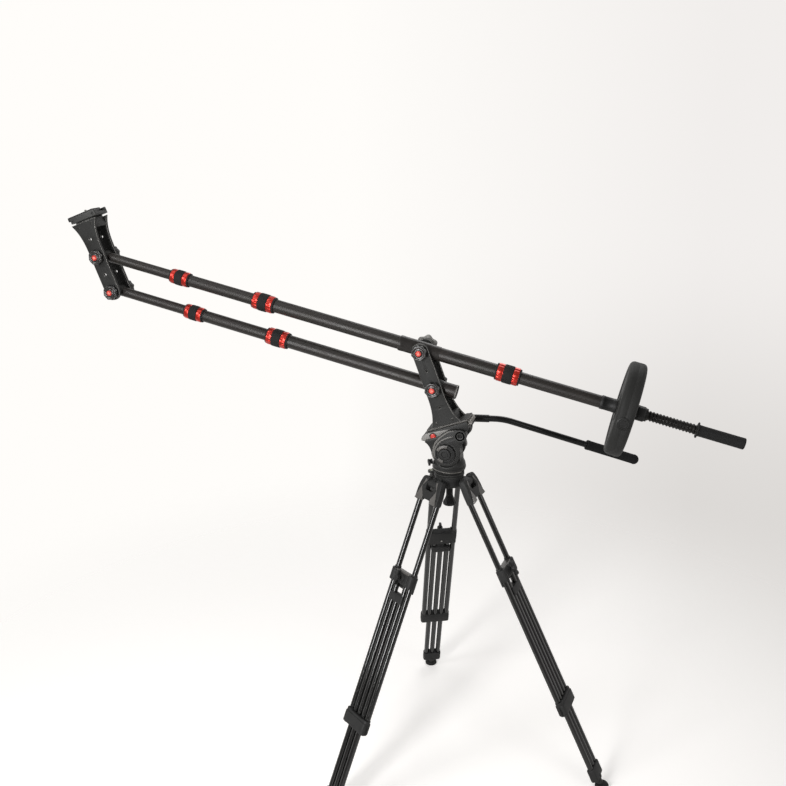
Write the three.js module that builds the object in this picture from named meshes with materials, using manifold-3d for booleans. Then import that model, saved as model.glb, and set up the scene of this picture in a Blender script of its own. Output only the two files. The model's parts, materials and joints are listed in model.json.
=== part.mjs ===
// A camera jib crane on a fluid head and a twin-tube tripod, at its real size in millimetres.
// +X points to the counterweight end, +Y to the far side, +Z up. The origin is on the floor, below
// the middle of the whole crane. Each node is one piece, or the pieces that are fixed together.
import * as THREE from "three";
import { mergeVertices } from "three/addons/utils/BufferGeometryUtils.js";
import Module from "manifold-3d";

// Fits
const gap = 0.3; // between pieces that touch
const slideGap = 0.5; // round a tube or a bolt that slides or turns in its bore
const overrun = 2; // how far a cutting body passes the faces that it cuts

// Pose, in degrees
const boomPitch = 14.3; // booms, front end up
const headPitch = 18.8; // head plate and both brackets, front end down
const legSpread = 24.4; // each leg from the vertical
const legAzimuths = { rear: -7.9, far: 112.1, near: -127.9 };

// Facets
const roundSides = 18;
const smallSides = 8;
const legTubeSides = 10;
const threadSides = 9;
const weightSides = 32;
const lobeSides = 4;
const arcSteps = 4;
const domeSteps = 3;
const threadSteps = 3; // along each turn of the thread
const handleSteps = 16;

// Brackets: four side plates alike
const pivotSpacing = 100;
const plateThickness = 8;
const plateClearWidth = 46; // between the inner faces of a pair
const plateHalfWidth = 22;
const plateFlareStart = 122;
const plateLength = 199; // from the end pivot to the flared end
const plateFlareHalfWidth = 40;
const plateHoleRadius = 3;
const plateHoleShares = [0.5, 1.5]; // of the pivot spacing, from the end pivot
const spacerHeight = 24;
const spacerHalfLength = 30;
const baseFlangeThickness = 5;
const baseFlangeFront = 55;
const baseFlangeRear = 60;
const baseFlangeHalfWidth = 29;

// Booms: distances along a boom count from its rear pivot, forwards being negative
const boomLength = 919; // rear pivot to front pivot
const baseTubeRadius = 17.5;
const middleTubeRadius = 15.5;
const tipTubeRadius = 13;
const baseTubeWall = 1.5;
const middleTubeWall = 2;
const tipTubeWall = 1.5;
const baseTubeFront = -450;
const baseTubeRear = 215;
const lowerBaseTubeRear = 53;
const middleTubeFront = -690;
const middleTubeRear = -200;
const tipTubeRear = -440;
const tipEyeLength = 16;
const tailTubeFront = 72;
const tailTubeRear = 490;
const endCapLength = 4;
const endCapRadius = 18.4;
const sleeveRadius = 20;
const sleeveFront = -62;
const sleeveRear = 46;
const lowerSleeveRadius = 19;
const lowerSleeveHalfLength = 17;
const trunnionRadius = 12;

// Twist locks
const smallLockLength = 55;
const smallLockRadius = 20.7;
const largeLockLength = 62;
const largeLockRadius = 23.7;
const frontLockStart = -712.5;
const middleLockStart = -471;
const tailLockStart = 193;

// Pivot bolts and knobs
const boltRadius = 5;
const boltNearReach = 43;
const knobRadius = 20.5;
const knobHubRadius = 11;
const knobHubLength = 4.5;
const knobGripLength = 10;
const knobCapRadius = 7.2;
const knobCapLength = 3.5;
const knobLobeDepth = 2.6;
const farKnobRadius = 20;
const farKnobLength = 14;
const starKnobRadius = 28.5;
const starKnobLobeDepth = 5;
const starKnobLength = 16;
const knobLobes = 8;
const starKnobLobes = 6;

// Counterweight end
const endSleeveFront = 458;
const endSleeveRadius = 17.2;
const weightRadius = 117;
const weightThickness = 43;
const weightFront = 497.3;
const weightEdgeRadius = 7;
const weightFaceInset = 3;
const weightRimWidth = 20;
const weightHubRadius = 34;
const fillPlugRadius = 16.5;
const fillPlugDepth = 12;
const fillPlugInset = 1.6;
const fillPlugDishRadius = 13;
const fillPlugDishDepth = 1.2;
const barRadius = 12.5;
const barRootRadius = 11;
const barPitch = 8;
const threadLength = 150.3; // from the plate's rear face to the grip
const barInGrip = 11.4;
const washerThickness = 3;
const nutRadius = 18.8;
const nutLength = 28;
const nutStepRadius = 16;
const nutStepLength = 5;
const nutLobeDepth = 1.6;
const nutLobes = 6;
const gripFlangeRadius = 19.5;
const gripFlangeLength = 3.4;
const gripRadius = 14;
const gripLength = 114.2;
const gripWall = 3;

// Quick-release clamp and plate at the front bracket
const clampFootHeight = 4;
const clampFootHalfLength = 28;
const clampFootHalfWidth = 25;
const clampHeight = 17;
const clampFront = 38;
const clampRear = 44;
const clampHalfWidth = 29;
const clampSlotDepth = 8;
const clampCornerRadius = 4;
const cameraPlateHalfWidth = 21;
const cameraPlateFront = 50;
const cameraPlateRear = 34;
const cameraPlateHeight = 11;
const cameraScrewRadius = 3.2;
const cameraScrewRise = 5.5;
const cameraScrewHeadRadius = 8;
const cameraScrewHeadHeight = 3;
const clampKnobRadius = 11;
const clampKnobLength = 12;
const clampKnobStemRadius = 4;
const clampKnobStemLength = 6;

// Fluid head: heights count from the tilt axis
const bracketSetback = 23.4; // bracket centre line behind the tilt axis
const slideTopRise = 63.4; // top of the slide plate above the tilt axis
const slidePlateThickness = 10;
const slidePlateHalfWidth = 25;
const slidePlateFront = 32;
const slidePlateRear = 88;
const cradleHalfWidth = 31;
const cradleFront = 50;
const cradleRear = 78;
const cradleNoseReach = 8;
const cradleNoseHeight = 16;
const cradleFloor = 13;
const cheekRadius = 38;
const cheekInner = 22;
const cheekWebAngle = 40; // degrees: where the web that joins a cheek to the cradle leaves its circle
const cheekOuter = 43;
const panHubHalfWidth = 21;
const panHubRadius = 33;
const panBaseRadius = 44;
const panWallHeight = 32;
const panShoulderRadius = 40;
const panShoulderHeight = 6;
const panBaseDrop = 61.7; // underside of the pan body below the tilt axis
const dragDialRadius = 27;
const dragDialLength = 7;
const dragDialCapRadius = 15;
const dragDialCapLength = 3;
const dragDialTeeth = 14;
const dragDialLobeDepth = 1;
const rosetteSetback = 52;
const rosetteRise = 34;
const rosetteRadius = 16;
const rosetteNearReach = 42;
const rosetteFarReach = 44;
const rosetteDishRadius = 4;
const rosetteDishDepth = 3;
const releaseButtonRadius = 7;
const releaseButtonSetback = -19;
const releaseButtonRise = -1.6; // button centre from the middle of the cradle side
const releaseButtonTravel = 3; // it stands this far proud, and goes in flush
const releaseButtonDepth = 5;
const panLeverReach = 56;
const panLeverHubRadius = 7;
const panLeverHubLength = 12;
const panLeverLength = 24;
const panLeverThickness = 6;
const panLeverDrop = 26;
const panLeverAzimuth = 205; // degrees from +X
const baseFlangeRadius = 43;
const baseRingHeight = 10;
const ballRadius = 32.5;
const ballHeight = 22;
const ballSteps = 5;
const baseStudRadius = 5;
const baseStudDrop = 70;
const levelRadius = 8;
const levelHeight = 7;
const levelOverhang = 5;
const levelAzimuth = 188;

// Pan handle, from the rosette centre
const handleRadius = 8.2;
const handleRise = 19;
const handleSide = 57;
const handleStart = 6;
const handleBendReach = 92.7;
const handleBendSide = 65;
const handleBendLength = 24;
const handleEndReach = 430.3;
const handleEndSide = 180;
const handleEndRise = -115;
const handleGripLength = 150;
const handleGripRadius = 13.2;
const handleClampRadius = 13;
const handleClampOuter = 69;
const handleKnobRadius = 14;
const handleKnobLength = 15;
const handleGripCover = 0.6;

// Tripod crown
const crownRadius = 38;
const crownHeight = 28;
const crownFloorHole = 13;
const legPivotRadius = 50;
const legPivotDrop = 17; // leg pivots below the crown's top
const lugHalfWidth = 15;
const lugRadius = 11;
const legPinRadius = 4;
const bowlWasherRadius = 21;
const bowlWasherHeight = 7;
const bowlKnobNeckRadius = 9;
const bowlKnobRadius = 18;
const bowlKnobLength = 58;

// Tripod legs: distances count from the leg pivot down the leg
const legLength = 918; // leg pivot to the floor along the leg
const legTubeRadius = 7.4;
const outerTubeOffset = 35;
const innerTubeOffset = 18.6;
const castingHalfWidth = 44;
const castingInner = 6;
const clampInner = 10;
const castingOuter = 15;
const shoulderRise = 16;
const shoulderDrop = 52;
const shoulderCornerRadius = 11;
const slotFloorRoom = 6; // under a lug, for the leg to spread
const midClampTop = 239.5;
const midClampBottom = 273.5;
const midClampCornerRadius = 8;
const braceTop = 300;
const braceBottom = 322;
const braceHalfWidth = 27;
const braceHalfThickness = 9.5;
const guideTop = 635;
const guideBottom = 673;
const footCastingTop = 850;
const footCastingBottom = 886;
const footHalfWidth = 28;
const footHalfThickness = 11;
const footNeckRadius = 9;
const footPadRadius = 19;
const footPadHeight = 12;
const wingHubRadius = 8;
const wingHubLength = 11;
const wingStemRadius = 4;
const wingStemLength = 4;
const wingHalfLength = 20;
const wingThickness = 7;
const wingReach = 12;

const wasm = await Module();
wasm.setup();

const degrees = THREE.MathUtils.degToRad;

// Finishes: colour, roughness, metalness
const finishes = {
  carbon: [0x2a2624, 0.4, 0.1],
  blackMetal: [0x2b2b2b, 0.55, 0.6],
  blackPlastic: [0x1a1a1a, 0.6, 0],
  rubber: [0x161616, 0.9, 0],
  redAnodised: [0xc4301f, 0.3, 0.8],
  redPlastic: [0xd9402e, 0.4, 0],
  greyPlastic: [0x6b6a68, 0.5, 0],
  greyMetal: [0x77736f, 0.45, 0.7],
  steel: [0xb9b9b6, 0.3, 1],
  vinyl: [0x3a3a3a, 0.65, 0],
};

// A closed geometry as a solid whose faces point out.
function solid(geometry) {
  geometry.deleteAttribute("normal");
  geometry.deleteAttribute("uv");
  const merged = mergeVertices(geometry);
  const corners = merged.index.array;
  const kept = [];
  for (let i = 0; i < corners.length; i += 3) {
    const [a, b, c] = [corners[i], corners[i + 1], corners[i + 2]];
    if (a !== b && b !== c && c !== a) kept.push(a, b, c);
  }
  const make = (triVerts) =>
    new wasm.Manifold(
      new wasm.Mesh({ numProp: 3, vertProperties: merged.attributes.position.array, triVerts }),
    );
  const made = make(new Uint32Array(kept));
  return made.volume() > 0 ? made : make(new Uint32Array(kept.reverse()));
}

const join = (...solids) => solids.reduce((a, b) => a.add(b));
const cut = (body, ...tools) => tools.reduce((a, b) => a.subtract(b), body);

function block(x0, x1, y0, y1, z0, z1) {
  const g = new THREE.BoxGeometry(x1 - x0, y1 - y0, z1 - z0);
  g.translate((x0 + x1) / 2, (y0 + y1) / 2, (z0 + z1) / 2);
  return solid(g);
}

// Turns a geometry made along +Y so that it lies along the named axis, then moves it sideways.
function lay(g, axis, a, b) {
  if (axis === "x") g.rotateZ(-Math.PI / 2).translate(0, a, b);
  if (axis === "y") g.translate(a, 0, b);
  if (axis === "z") g.rotateX(Math.PI / 2).translate(a, b, 0);
  return solid(g);
}

function rod(axis, radius, from, to, a = 0, b = 0, sides = roundSides) {
  const g = new THREE.CylinderGeometry(radius, radius, to - from, sides);
  return lay(g.translate(0, (from + to) / 2, 0), axis, a, b);
}

// A cutting body whose flats, not its corners, lie at the radius, so that a round piece can turn in it.
function hole(axis, radius, from, to, a = 0, b = 0, sides = smallSides) {
  return rod(axis, radius / Math.cos(Math.PI / sides), from, to, a, b, sides);
}

// A turned body: the profile lists radius and place along the axis.
function turned(axis, profile, a = 0, b = 0, sides = roundSides) {
  const points = profile.map(([radius, along]) => new THREE.Vector2(radius, along));
  return lay(new THREE.LatheGeometry(points, sides), axis, a, b);
}

function pipe(axis, outer, inner, from, to) {
  const ring = [[inner, from], [outer, from], [outer, to], [inner, to], [inner, from]];
  return turned(axis, ring);
}

// A flat outline given thickness: along Y its plane is XZ, along X its plane is YZ.
function slab(axis, outline, from, to) {
  const shape = Array.isArray(outline) ? new THREE.Shape(outline.map((p) => new THREE.Vector2(...p))) : outline;
  const g = new THREE.ExtrudeGeometry(shape, { depth: to - from, bevelEnabled: false, curveSegments: arcSteps });
  if (axis === "y") g.rotateX(Math.PI / 2).translate(0, to, 0);
  if (axis === "z") g.translate(0, 0, from);
  if (axis === "x") {
    const [x, y, z] = [new THREE.Vector3(1, 0, 0), new THREE.Vector3(0, 1, 0), new THREE.Vector3(0, 0, 1)];
    g.applyMatrix4(new THREE.Matrix4().makeBasis(y, z, x)).translate(from, 0, 0);
  }
  return solid(g);
}

// A round outline with evenly spaced hollows, as on a hand knob.
function lobedOutline(radius, depth, lobes, a = 0, b = 0) {
  const count = lobes * lobeSides;
  return Array.from({ length: count }, (_, i) => {
    const turn = (2 * Math.PI * i) / count;
    const r = radius - (depth * (1 - Math.cos(lobes * turn))) / 2;
    return [a + r * Math.cos(turn), b + r * Math.sin(turn)];
  });
}

// A rectangle with rounded corners, centred on the first coordinate.
function roundedOutline(halfWidth, low, high, radius) {
  const s = new THREE.Shape();
  s.moveTo(-halfWidth + radius, low);
  s.lineTo(halfWidth - radius, low);
  s.absarc(halfWidth - radius, low + radius, radius, -Math.PI / 2, 0, false);
  s.absarc(halfWidth - radius, high - radius, radius, 0, Math.PI / 2, false);
  s.absarc(-halfWidth + radius, high - radius, radius, Math.PI / 2, Math.PI, false);
  s.absarc(-halfWidth + radius, low + radius, radius, Math.PI, 1.5 * Math.PI, false);
  return s;
}

function piece(parent, name, body, finish) {
  const made = body.getMesh();
  const g = new THREE.BufferGeometry();
  g.setAttribute("position", new THREE.BufferAttribute(made.vertProperties, 3));
  g.setIndex(new THREE.BufferAttribute(made.triVerts, 1));
  const [color, roughness, metalness] = finishes[finish];
  const mesh = new THREE.Mesh(g, new THREE.MeshStandardMaterial({ color, roughness, metalness }));
  mesh.name = name;
  parent.add(mesh);
  return mesh;
}

function group(parent, x, y, z, pitch = 0, turn = 0) {
  const g = new THREE.Group();
  g.position.set(x, y, z);
  g.rotation.set(0, degrees(pitch), degrees(turn), "ZYX");
  parent.add(g);
  return g;
}

// Frames. The rear bracket stands on the slide plate, its flange between them.
const pivotRise = slideTopRise + gap + baseFlangeThickness + gap + plateLength;
const crane = new THREE.Group();
const legDrop = legLength * Math.cos(degrees(legSpread));
const crownTop = legDrop + legPivotDrop;
const tiltHeight = crownTop + gap + baseRingHeight + gap + panBaseDrop;
const root = group(crane, 0, 0, tiltHeight);
const tilt = group(root, 0, 0, 0, -headPitch);
const rearBracket = group(tilt, bracketSetback, 0, pivotRise);
const upperBoom = group(rearBracket, 0, 0, 0, boomPitch + headPitch);
const lowerBoom = group(rearBracket, 0, 0, -pivotSpacing, boomPitch + headPitch);
const frontBracket = group(upperBoom, -boomLength, 0, 0, -boomPitch - headPitch);

// Side plates: the outline runs from the end pivot at zero to the flared end.
const plateInner = plateClearWidth / 2;
const plateOuter = plateInner + plateThickness;

function sidePlate(upwards, near) {
  const s = new THREE.Shape();
  const way = upwards ? 1 : -1;
  const bendShare = 0.62; // how far up the flare the curve is pulled inwards
  const bend = plateFlareStart + (plateLength - plateFlareStart) * bendShare;
  s.moveTo(-plateFlareHalfWidth, way * plateLength);
  s.quadraticCurveTo(-plateHalfWidth, way * bend, -plateHalfWidth, way * plateFlareStart);
  s.lineTo(-plateHalfWidth, 0);
  s.absarc(0, 0, plateHalfWidth, Math.PI, upwards ? 2 * Math.PI : 0, !upwards);
  s.lineTo(plateHalfWidth, way * plateFlareStart);
  s.quadraticCurveTo(plateHalfWidth, way * bend, plateFlareHalfWidth, way * plateLength);
  s.closePath();
  const [from, to] = near ? [-plateOuter, -plateInner] : [plateInner, plateOuter];
  const through = (radius, z) => hole("y", radius, from - overrun, to + overrun, 0, z);
  return cut(
    slab("y", s, from, to),
    through(boltRadius + gap, 0),
    through(boltRadius + gap, way * pivotSpacing),
    ...plateHoleShares.map((share) => through(plateHoleRadius, way * pivotSpacing * share)),
  );
}

function spacer(low, high) {
  return block(-spacerHalfLength, spacerHalfLength, -plateInner + gap, plateInner - gap, low, high);
}

piece(rearBracket, "rear_plate_near", sidePlate(false, true), "blackMetal");
piece(rearBracket, "rear_plate_far", sidePlate(false, false), "blackMetal");
const flangeTop = -plateLength - gap;
const flangeBottom = flangeTop - baseFlangeThickness;
const rearBase = join(
  spacer(flangeTop - overrun, flangeTop + spacerHeight),
  block(
    -baseFlangeFront, baseFlangeRear, -baseFlangeHalfWidth, baseFlangeHalfWidth, flangeBottom, flangeTop,
  ),
);
piece(rearBracket, "rear_base_block", rearBase, "blackMetal");

// Pivot knobs and bolts
function nearKnob(parent, name, x, z) {
  const face = -plateOuter - gap;
  const grip = face - knobHubLength;
  const cap = grip - knobGripLength;
  const body = join(
    rod("y", knobHubRadius, grip - overrun, face, 0, 0, smallSides),
    slab("y", lobedOutline(knobRadius, knobLobeDepth, knobLobes), cap, grip),
    rod("y", knobCapRadius, cap - knobCapLength, cap + overrun, 0, 0, smallSides),
  );
  const bore = hole("y", boltRadius + gap, -boltNearReach - gap, face + overrun);
  piece(group(parent, x, 0, z), name, cut(body, bore), "blackPlastic");
}

function pivotBolt(parent, name, x, z, radius, depth, lobes, length, finish) {
  const face = plateOuter + gap;
  const head = face + knobHubLength;
  const body = join(
    rod("y", boltRadius, -boltNearReach, head, 0, 0, smallSides),
    rod("y", knobHubRadius, face, head + overrun, 0, 0, smallSides),
    slab("y", lobedOutline(radius, depth, lobes), head, head + length),
  );
  piece(group(parent, x, 0, z), name, body, finish);
}

const farKnob = [farKnobRadius, knobLobeDepth, knobLobes, farKnobLength, "blackPlastic"];
const starKnob = [starKnobRadius, starKnobLobeDepth, starKnobLobes, starKnobLength, "greyPlastic"];
nearKnob(rearBracket, "rear_upper_knob", 0, 0);
nearKnob(rearBracket, "rear_lower_knob", 0, -pivotSpacing);
nearKnob(frontBracket, "front_upper_knob", 0, 0);
nearKnob(frontBracket, "front_lower_knob", 0, -pivotSpacing);
pivotBolt(rearBracket, "rear_upper_bolt", 0, 0, ...starKnob);
pivotBolt(rearBracket, "rear_lower_bolt", 0, -pivotSpacing, ...farKnob);
pivotBolt(frontBracket, "front_upper_bolt", 0, 0, ...farKnob);
pivotBolt(frontBracket, "front_lower_bolt", 0, -pivotSpacing, ...farKnob);

// Boom tubes. A trunnion is the cross boss that turns on a pivot bolt between two side plates.
const trunnion = (x) => rod("y", trunnionRadius, -plateInner + gap, plateInner - gap, x, 0);
const boltBore = (x) => hole("y", boltRadius + slideGap, -plateInner - overrun, plateInner + overrun, x, 0);

function baseTube(rear) {
  return pipe("x", baseTubeRadius, baseTubeRadius - baseTubeWall, baseTubeFront, rear);
}

function middleTube() {
  return pipe("x", middleTubeRadius, middleTubeRadius - middleTubeWall, middleTubeFront, middleTubeRear);
}

// The tip tube with the eye that turns on the front bracket's bolt.
function tipTube() {
  const eyeRear = -boomLength + tipEyeLength;
  const tube = pipe("x", tipTubeRadius, tipTubeRadius - tipTubeWall, eyeRear, tipTubeRear);
  const eye = join(rod("x", tipTubeRadius, -boomLength, eyeRear + overrun), trunnion(-boomLength));
  return cut(join(tube, eye), boltBore(-boomLength));
}

const upperBase = cut(baseTube(baseTubeRear), boltBore(0));
piece(upperBoom, "upper_base_tube", upperBase, "carbon");
piece(upperBoom, "upper_middle_tube", middleTube(), "carbon");
piece(upperBoom, "upper_tip_tube", tipTube(), "carbon");
const tailTube = pipe("x", middleTubeRadius, middleTubeRadius - middleTubeWall, tailTubeFront, tailTubeRear);
piece(upperBoom, "upper_tail_tube", tailTube, "carbon");

const sleeveBore = rod("x", baseTubeRadius + gap, sleeveFront - overrun, sleeveRear + overrun);
const sleeve = join(rod("x", sleeveRadius, sleeveFront, sleeveRear), trunnion(0));
piece(upperBoom, "boom_sleeve", cut(sleeve, sleeveBore, boltBore(0)), "blackMetal");

// The lower boom turns on a short sleeve of its own and ends in a cap just behind the bracket.
const lowerCollar = cut(
  join(rod("x", lowerSleeveRadius, -lowerSleeveHalfLength, lowerSleeveHalfLength), trunnion(0)),
  rod("x", baseTubeRadius - baseTubeWall, -lowerSleeveHalfLength - overrun, lowerSleeveHalfLength + overrun),
);
const lowerCap = rod("x", endCapRadius, lowerBaseTubeRear, lowerBaseTubeRear + endCapLength);
const lowerBase = cut(join(baseTube(lowerBaseTubeRear + overrun), lowerCollar, lowerCap), boltBore(0));
piece(lowerBoom, "lower_base_tube", lowerBase, "carbon");
piece(lowerBoom, "lower_middle_tube", middleTube(), "carbon");
piece(lowerBoom, "lower_tip_tube", tipTube(), "carbon");

// Twist locks: a red ring, a rubber ring, a red ring and a short skirt, as shares of length and radius.
const lockOutlineShares = [
  [0, 0.88], [0.06, 0.95], [0.29, 0.96], [0.31, 1], [0.67, 1], [0.69, 0.96], [0.93, 0.96],
  [0.95, 0.91], [1, 0.91],
];

// The bore is narrow round the thin tube and wide from the thick tube's end on.
function twistLock(start, flipped, length, radius, thin, thick, thickEnd) {
  const along = (share) => start + length * (flipped ? 1 - share : share);
  const outline = lockOutlineShares.map(([share, r]) => [radius * r, along(share)]);
  const shoulder = thickEnd + (flipped ? gap : -gap);
  const bore = [
    [thick + gap, along(1)], [thick + gap, shoulder], [thin + slideGap, shoulder], [thin + slideGap, along(0)],
  ];
  return turned("x", [...outline, ...bore, outline[0]]);
}

const smallLock = [smallLockLength, smallLockRadius, tipTubeRadius, middleTubeRadius];
const largeLock = [largeLockLength, largeLockRadius, middleTubeRadius, baseTubeRadius];
const frontLock = [frontLockStart, false, ...smallLock, middleTubeFront];
const middleLock = [middleLockStart, false, ...largeLock, baseTubeFront];
const tailLock = [tailLockStart, true, ...largeLock, baseTubeRear];
piece(upperBoom, "upper_front_lock", twistLock(...frontLock), "redAnodised");
piece(upperBoom, "upper_middle_lock", twistLock(...middleLock), "redAnodised");
piece(lowerBoom, "lower_front_lock", twistLock(...frontLock), "redAnodised");
piece(lowerBoom, "lower_middle_lock", twistLock(...middleLock), "redAnodised");
piece(upperBoom, "tail_lock", twistLock(...tailLock), "redAnodised");

// Counterweight bar: a coarse thread as a surface whose radius follows the helix.
function threadedRod(from, to) {
  const steps = Math.round((to - from) / barPitch) * threadSteps;
  const sides = threadSides;
  const points = [];
  for (let i = 0; i <= steps; i++)
    for (let j = 0; j < sides; j++) {
      const turn = j / sides;
      const crest = (1 + Math.cos(2 * Math.PI * (i / threadSteps - turn))) / 2;
      const r = barRootRadius + (barRadius - barRootRadius) * crest;
      const x = from + ((to - from) * i) / steps;
      points.push(x, r * Math.cos(2 * Math.PI * turn), r * Math.sin(2 * Math.PI * turn));
    }
  points.push(from, 0, 0, to, 0, 0);
  const [startHub, endHub] = [(steps + 1) * sides, (steps + 1) * sides + 1];
  const faces = [];
  for (let j = 0; j < sides; j++) {
    const k = (j + 1) % sides;
    for (let i = 0; i < steps; i++) {
      const [a, b] = [i * sides, (i + 1) * sides];
      faces.push(a + j, b + j, b + k, a + j, b + k, a + k);
    }
    faces.push(startHub, j, k, endHub, steps * sides + k, steps * sides + j);
  }
  const g = new THREE.BufferGeometry();
  g.setAttribute("position", new THREE.Float32BufferAttribute(points, 3));
  g.setIndex(faces);
  return solid(g);
}

const weightRear = weightFront + weightThickness;
const gripStart = weightRear + threadLength;
const gripEnd = gripStart + gripLength;
const barEnd = gripStart + barInGrip;
const spigotRadius = middleTubeRadius - middleTubeWall - gap;
const weightBar = join(
  rod("x", spigotRadius, endSleeveFront, tailTubeRear + gap),
  rod("x", barRadius, tailTubeRear, weightRear),
  threadedRod(weightRear - overrun, gripStart + gripFlangeLength),
  rod("x", barRadius, gripStart, barEnd),
);
piece(upperBoom, "weight_bar", weightBar, "blackMetal");
const endSleeve = turned("x", [
  [middleTubeRadius + gap, endSleeveFront], [endSleeveRadius, endSleeveFront],
  [endSleeveRadius, weightFront - gap], [barRadius + gap, weightFront - gap],
  [barRadius + gap, tailTubeRear + gap], [middleTubeRadius + gap, tailTubeRear + gap],
  [middleTubeRadius + gap, endSleeveFront],
]);
piece(upperBoom, "weight_end_sleeve", endSleeve, "blackPlastic");

// The plate has rounded edges, and a face that is set back between its rim and its hub.
const edge = weightEdgeRadius;
const edgeBend = edge * (1 - Math.SQRT1_2); // the middle of a quarter circle
const rimInner = weightRadius - weightRimWidth;
const weightProfile = [
  [barRadius + slideGap, weightFront], [weightHubRadius, weightFront],
  [weightHubRadius + weightFaceInset, weightFront + weightFaceInset],
  [rimInner - weightFaceInset, weightFront + weightFaceInset], [rimInner, weightFront],
  [weightRadius - edge, weightFront], [weightRadius - edgeBend, weightFront + edgeBend],
  [weightRadius, weightFront + edge],
];
const mirrored = weightProfile.map(([r, x]) => [r, weightFront + weightRear - x]).reverse();
const plateBody = turned("x", [...weightProfile, ...mirrored, weightProfile[0]], 0, 0, weightSides);
const weightMiddle = (weightFront + weightRear) / 2;
const plugFloor = -weightRadius + fillPlugDepth;
const plugFace = -weightRadius + fillPlugInset;
const plugPocket = rod("y", fillPlugRadius + gap, -weightRadius - overrun, plugFloor, weightMiddle, 0);
piece(upperBoom, "weight_plate", cut(plateBody, plugPocket), "vinyl");
const fillPlug = cut(
  rod("y", fillPlugRadius, plugFace, plugFloor - gap, weightMiddle, 0),
  rod("y", fillPlugDishRadius, plugFace - overrun, plugFace + fillPlugDishDepth, weightMiddle, 0),
);
piece(upperBoom, "weight_fill_plug", fillPlug, "blackPlastic");

const washerFront = weightRear + gap;
const nutFront = washerFront + washerThickness + gap;
const nutRear = nutFront + nutLength;
const barClear = barRadius + slideGap;
const washer = pipe("x", nutRadius - nutLobeDepth, barClear, washerFront, washerFront + washerThickness);
piece(upperBoom, "collar_washer", washer, "rubber");
const nut = cut(
  join(
    slab("x", lobedOutline(nutRadius, nutLobeDepth, nutLobes), nutFront, nutRear - nutStepLength),
    rod("x", nutStepRadius, nutFront, nutRear),
  ),
  rod("x", barClear, nutFront - overrun, nutRear + overrun),
);
piece(upperBoom, "collar_nut", nut, "blackPlastic");
const gripBore = barRadius + gap;
const gripProfile = [
  [gripBore, gripStart], [gripFlangeRadius, gripStart], [gripFlangeRadius, gripStart + gripFlangeLength],
  [gripRadius, gripStart + gripFlangeLength], [gripRadius, gripEnd - gripWall],
  [gripRadius - gripWall, gripEnd], [0, gripEnd], [0, barEnd + gap], [gripBore, barEnd + gap],
  [gripBore, gripStart],
];
piece(upperBoom, "tail_grip", turned("x", gripProfile), "rubber");

// Front bracket: side plates flared upwards, with the spacer block between their tops.
const frontPlates = group(frontBracket, 0, 0, -pivotSpacing);
piece(frontPlates, "front_plate_near", sidePlate(true, true), "blackMetal");
piece(frontPlates, "front_plate_far", sidePlate(true, false), "blackMetal");
const bracketTop = plateLength - pivotSpacing;
const footTop = bracketTop + gap + clampFootHeight;
const frontBlock = join(
  spacer(bracketTop - spacerHeight, bracketTop + gap + overrun),
  block(
    -clampFootHalfLength, clampFootHalfLength, -clampFootHalfWidth, clampFootHalfWidth,
    bracketTop + gap, footTop,
  ),
);
piece(frontBracket, "front_top_block", frontBlock, "blackMetal");

// Clamp body with a slot for the plate, and its side knob.
const clampBase = footTop + gap;
const clampTop = clampBase + clampHeight;
const slotFloor = clampTop - clampSlotDepth;
const clampAxisHeight = (clampBase + slotFloor) / 2;
const clampOutline = roundedOutline((clampFront + clampRear) / 2, clampBase, clampTop, clampCornerRadius);
const clampBody = slab("y", clampOutline, -clampHalfWidth, clampHalfWidth);
const clampShift = (clampRear - clampFront) / 2;
const clampSlot = block(
  -clampFront - overrun, clampRear + overrun, -cameraPlateHalfWidth - gap, cameraPlateHalfWidth + gap,
  slotFloor, clampTop + overrun,
);
piece(frontBracket, "camera_clamp", cut(clampBody.translate([clampShift, 0, 0]), clampSlot), "blackMetal");
const plateFloor = slotFloor + gap;
const screwPocket = cameraScrewHeadHeight + gap;
const cameraPlate = cut(
  block(
    -cameraPlateFront, cameraPlateRear, -cameraPlateHalfWidth, cameraPlateHalfWidth,
    plateFloor, plateFloor + cameraPlateHeight,
  ),
  rod("z", cameraScrewRadius + gap, plateFloor, plateFloor + cameraPlateHeight + overrun),
  rod("z", cameraScrewHeadRadius + gap, plateFloor - overrun, plateFloor + screwPocket),
);
piece(frontBracket, "camera_plate", cameraPlate, "rubber");
const cameraScrew = join(
  rod("z", cameraScrewHeadRadius, plateFloor, plateFloor + cameraScrewHeadHeight),
  rod("z", cameraScrewRadius, plateFloor, plateFloor + cameraPlateHeight + cameraScrewRise),
);
piece(frontBracket, "camera_screw", cameraScrew, "steel");
const clampKnobFace = clampHalfWidth + gap;
const clampKnobGrip = clampKnobFace + clampKnobStemLength;
const clampKnob = join(
  rod("y", clampKnobStemRadius, clampKnobFace, clampKnobGrip + overrun, 0, 0, smallSides),
  slab("y", lobedOutline(clampKnobRadius, knobLobeDepth, starKnobLobes), clampKnobGrip,
    clampKnobGrip + clampKnobLength),
);
piece(group(frontBracket, 0, 0, clampAxisHeight), "camera_clamp_knob", clampKnob, "blackPlastic");

// Slide plate under the rear bracket, held in the cradle of the fluid head.
const slideFloor = slideTopRise - slidePlateThickness;
piece(
  tilt, "slide_plate",
  block(-slidePlateFront, slidePlateRear, -slidePlateHalfWidth, slidePlateHalfWidth, slideFloor, slideTopRise),
  "greyMetal",
);

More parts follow.
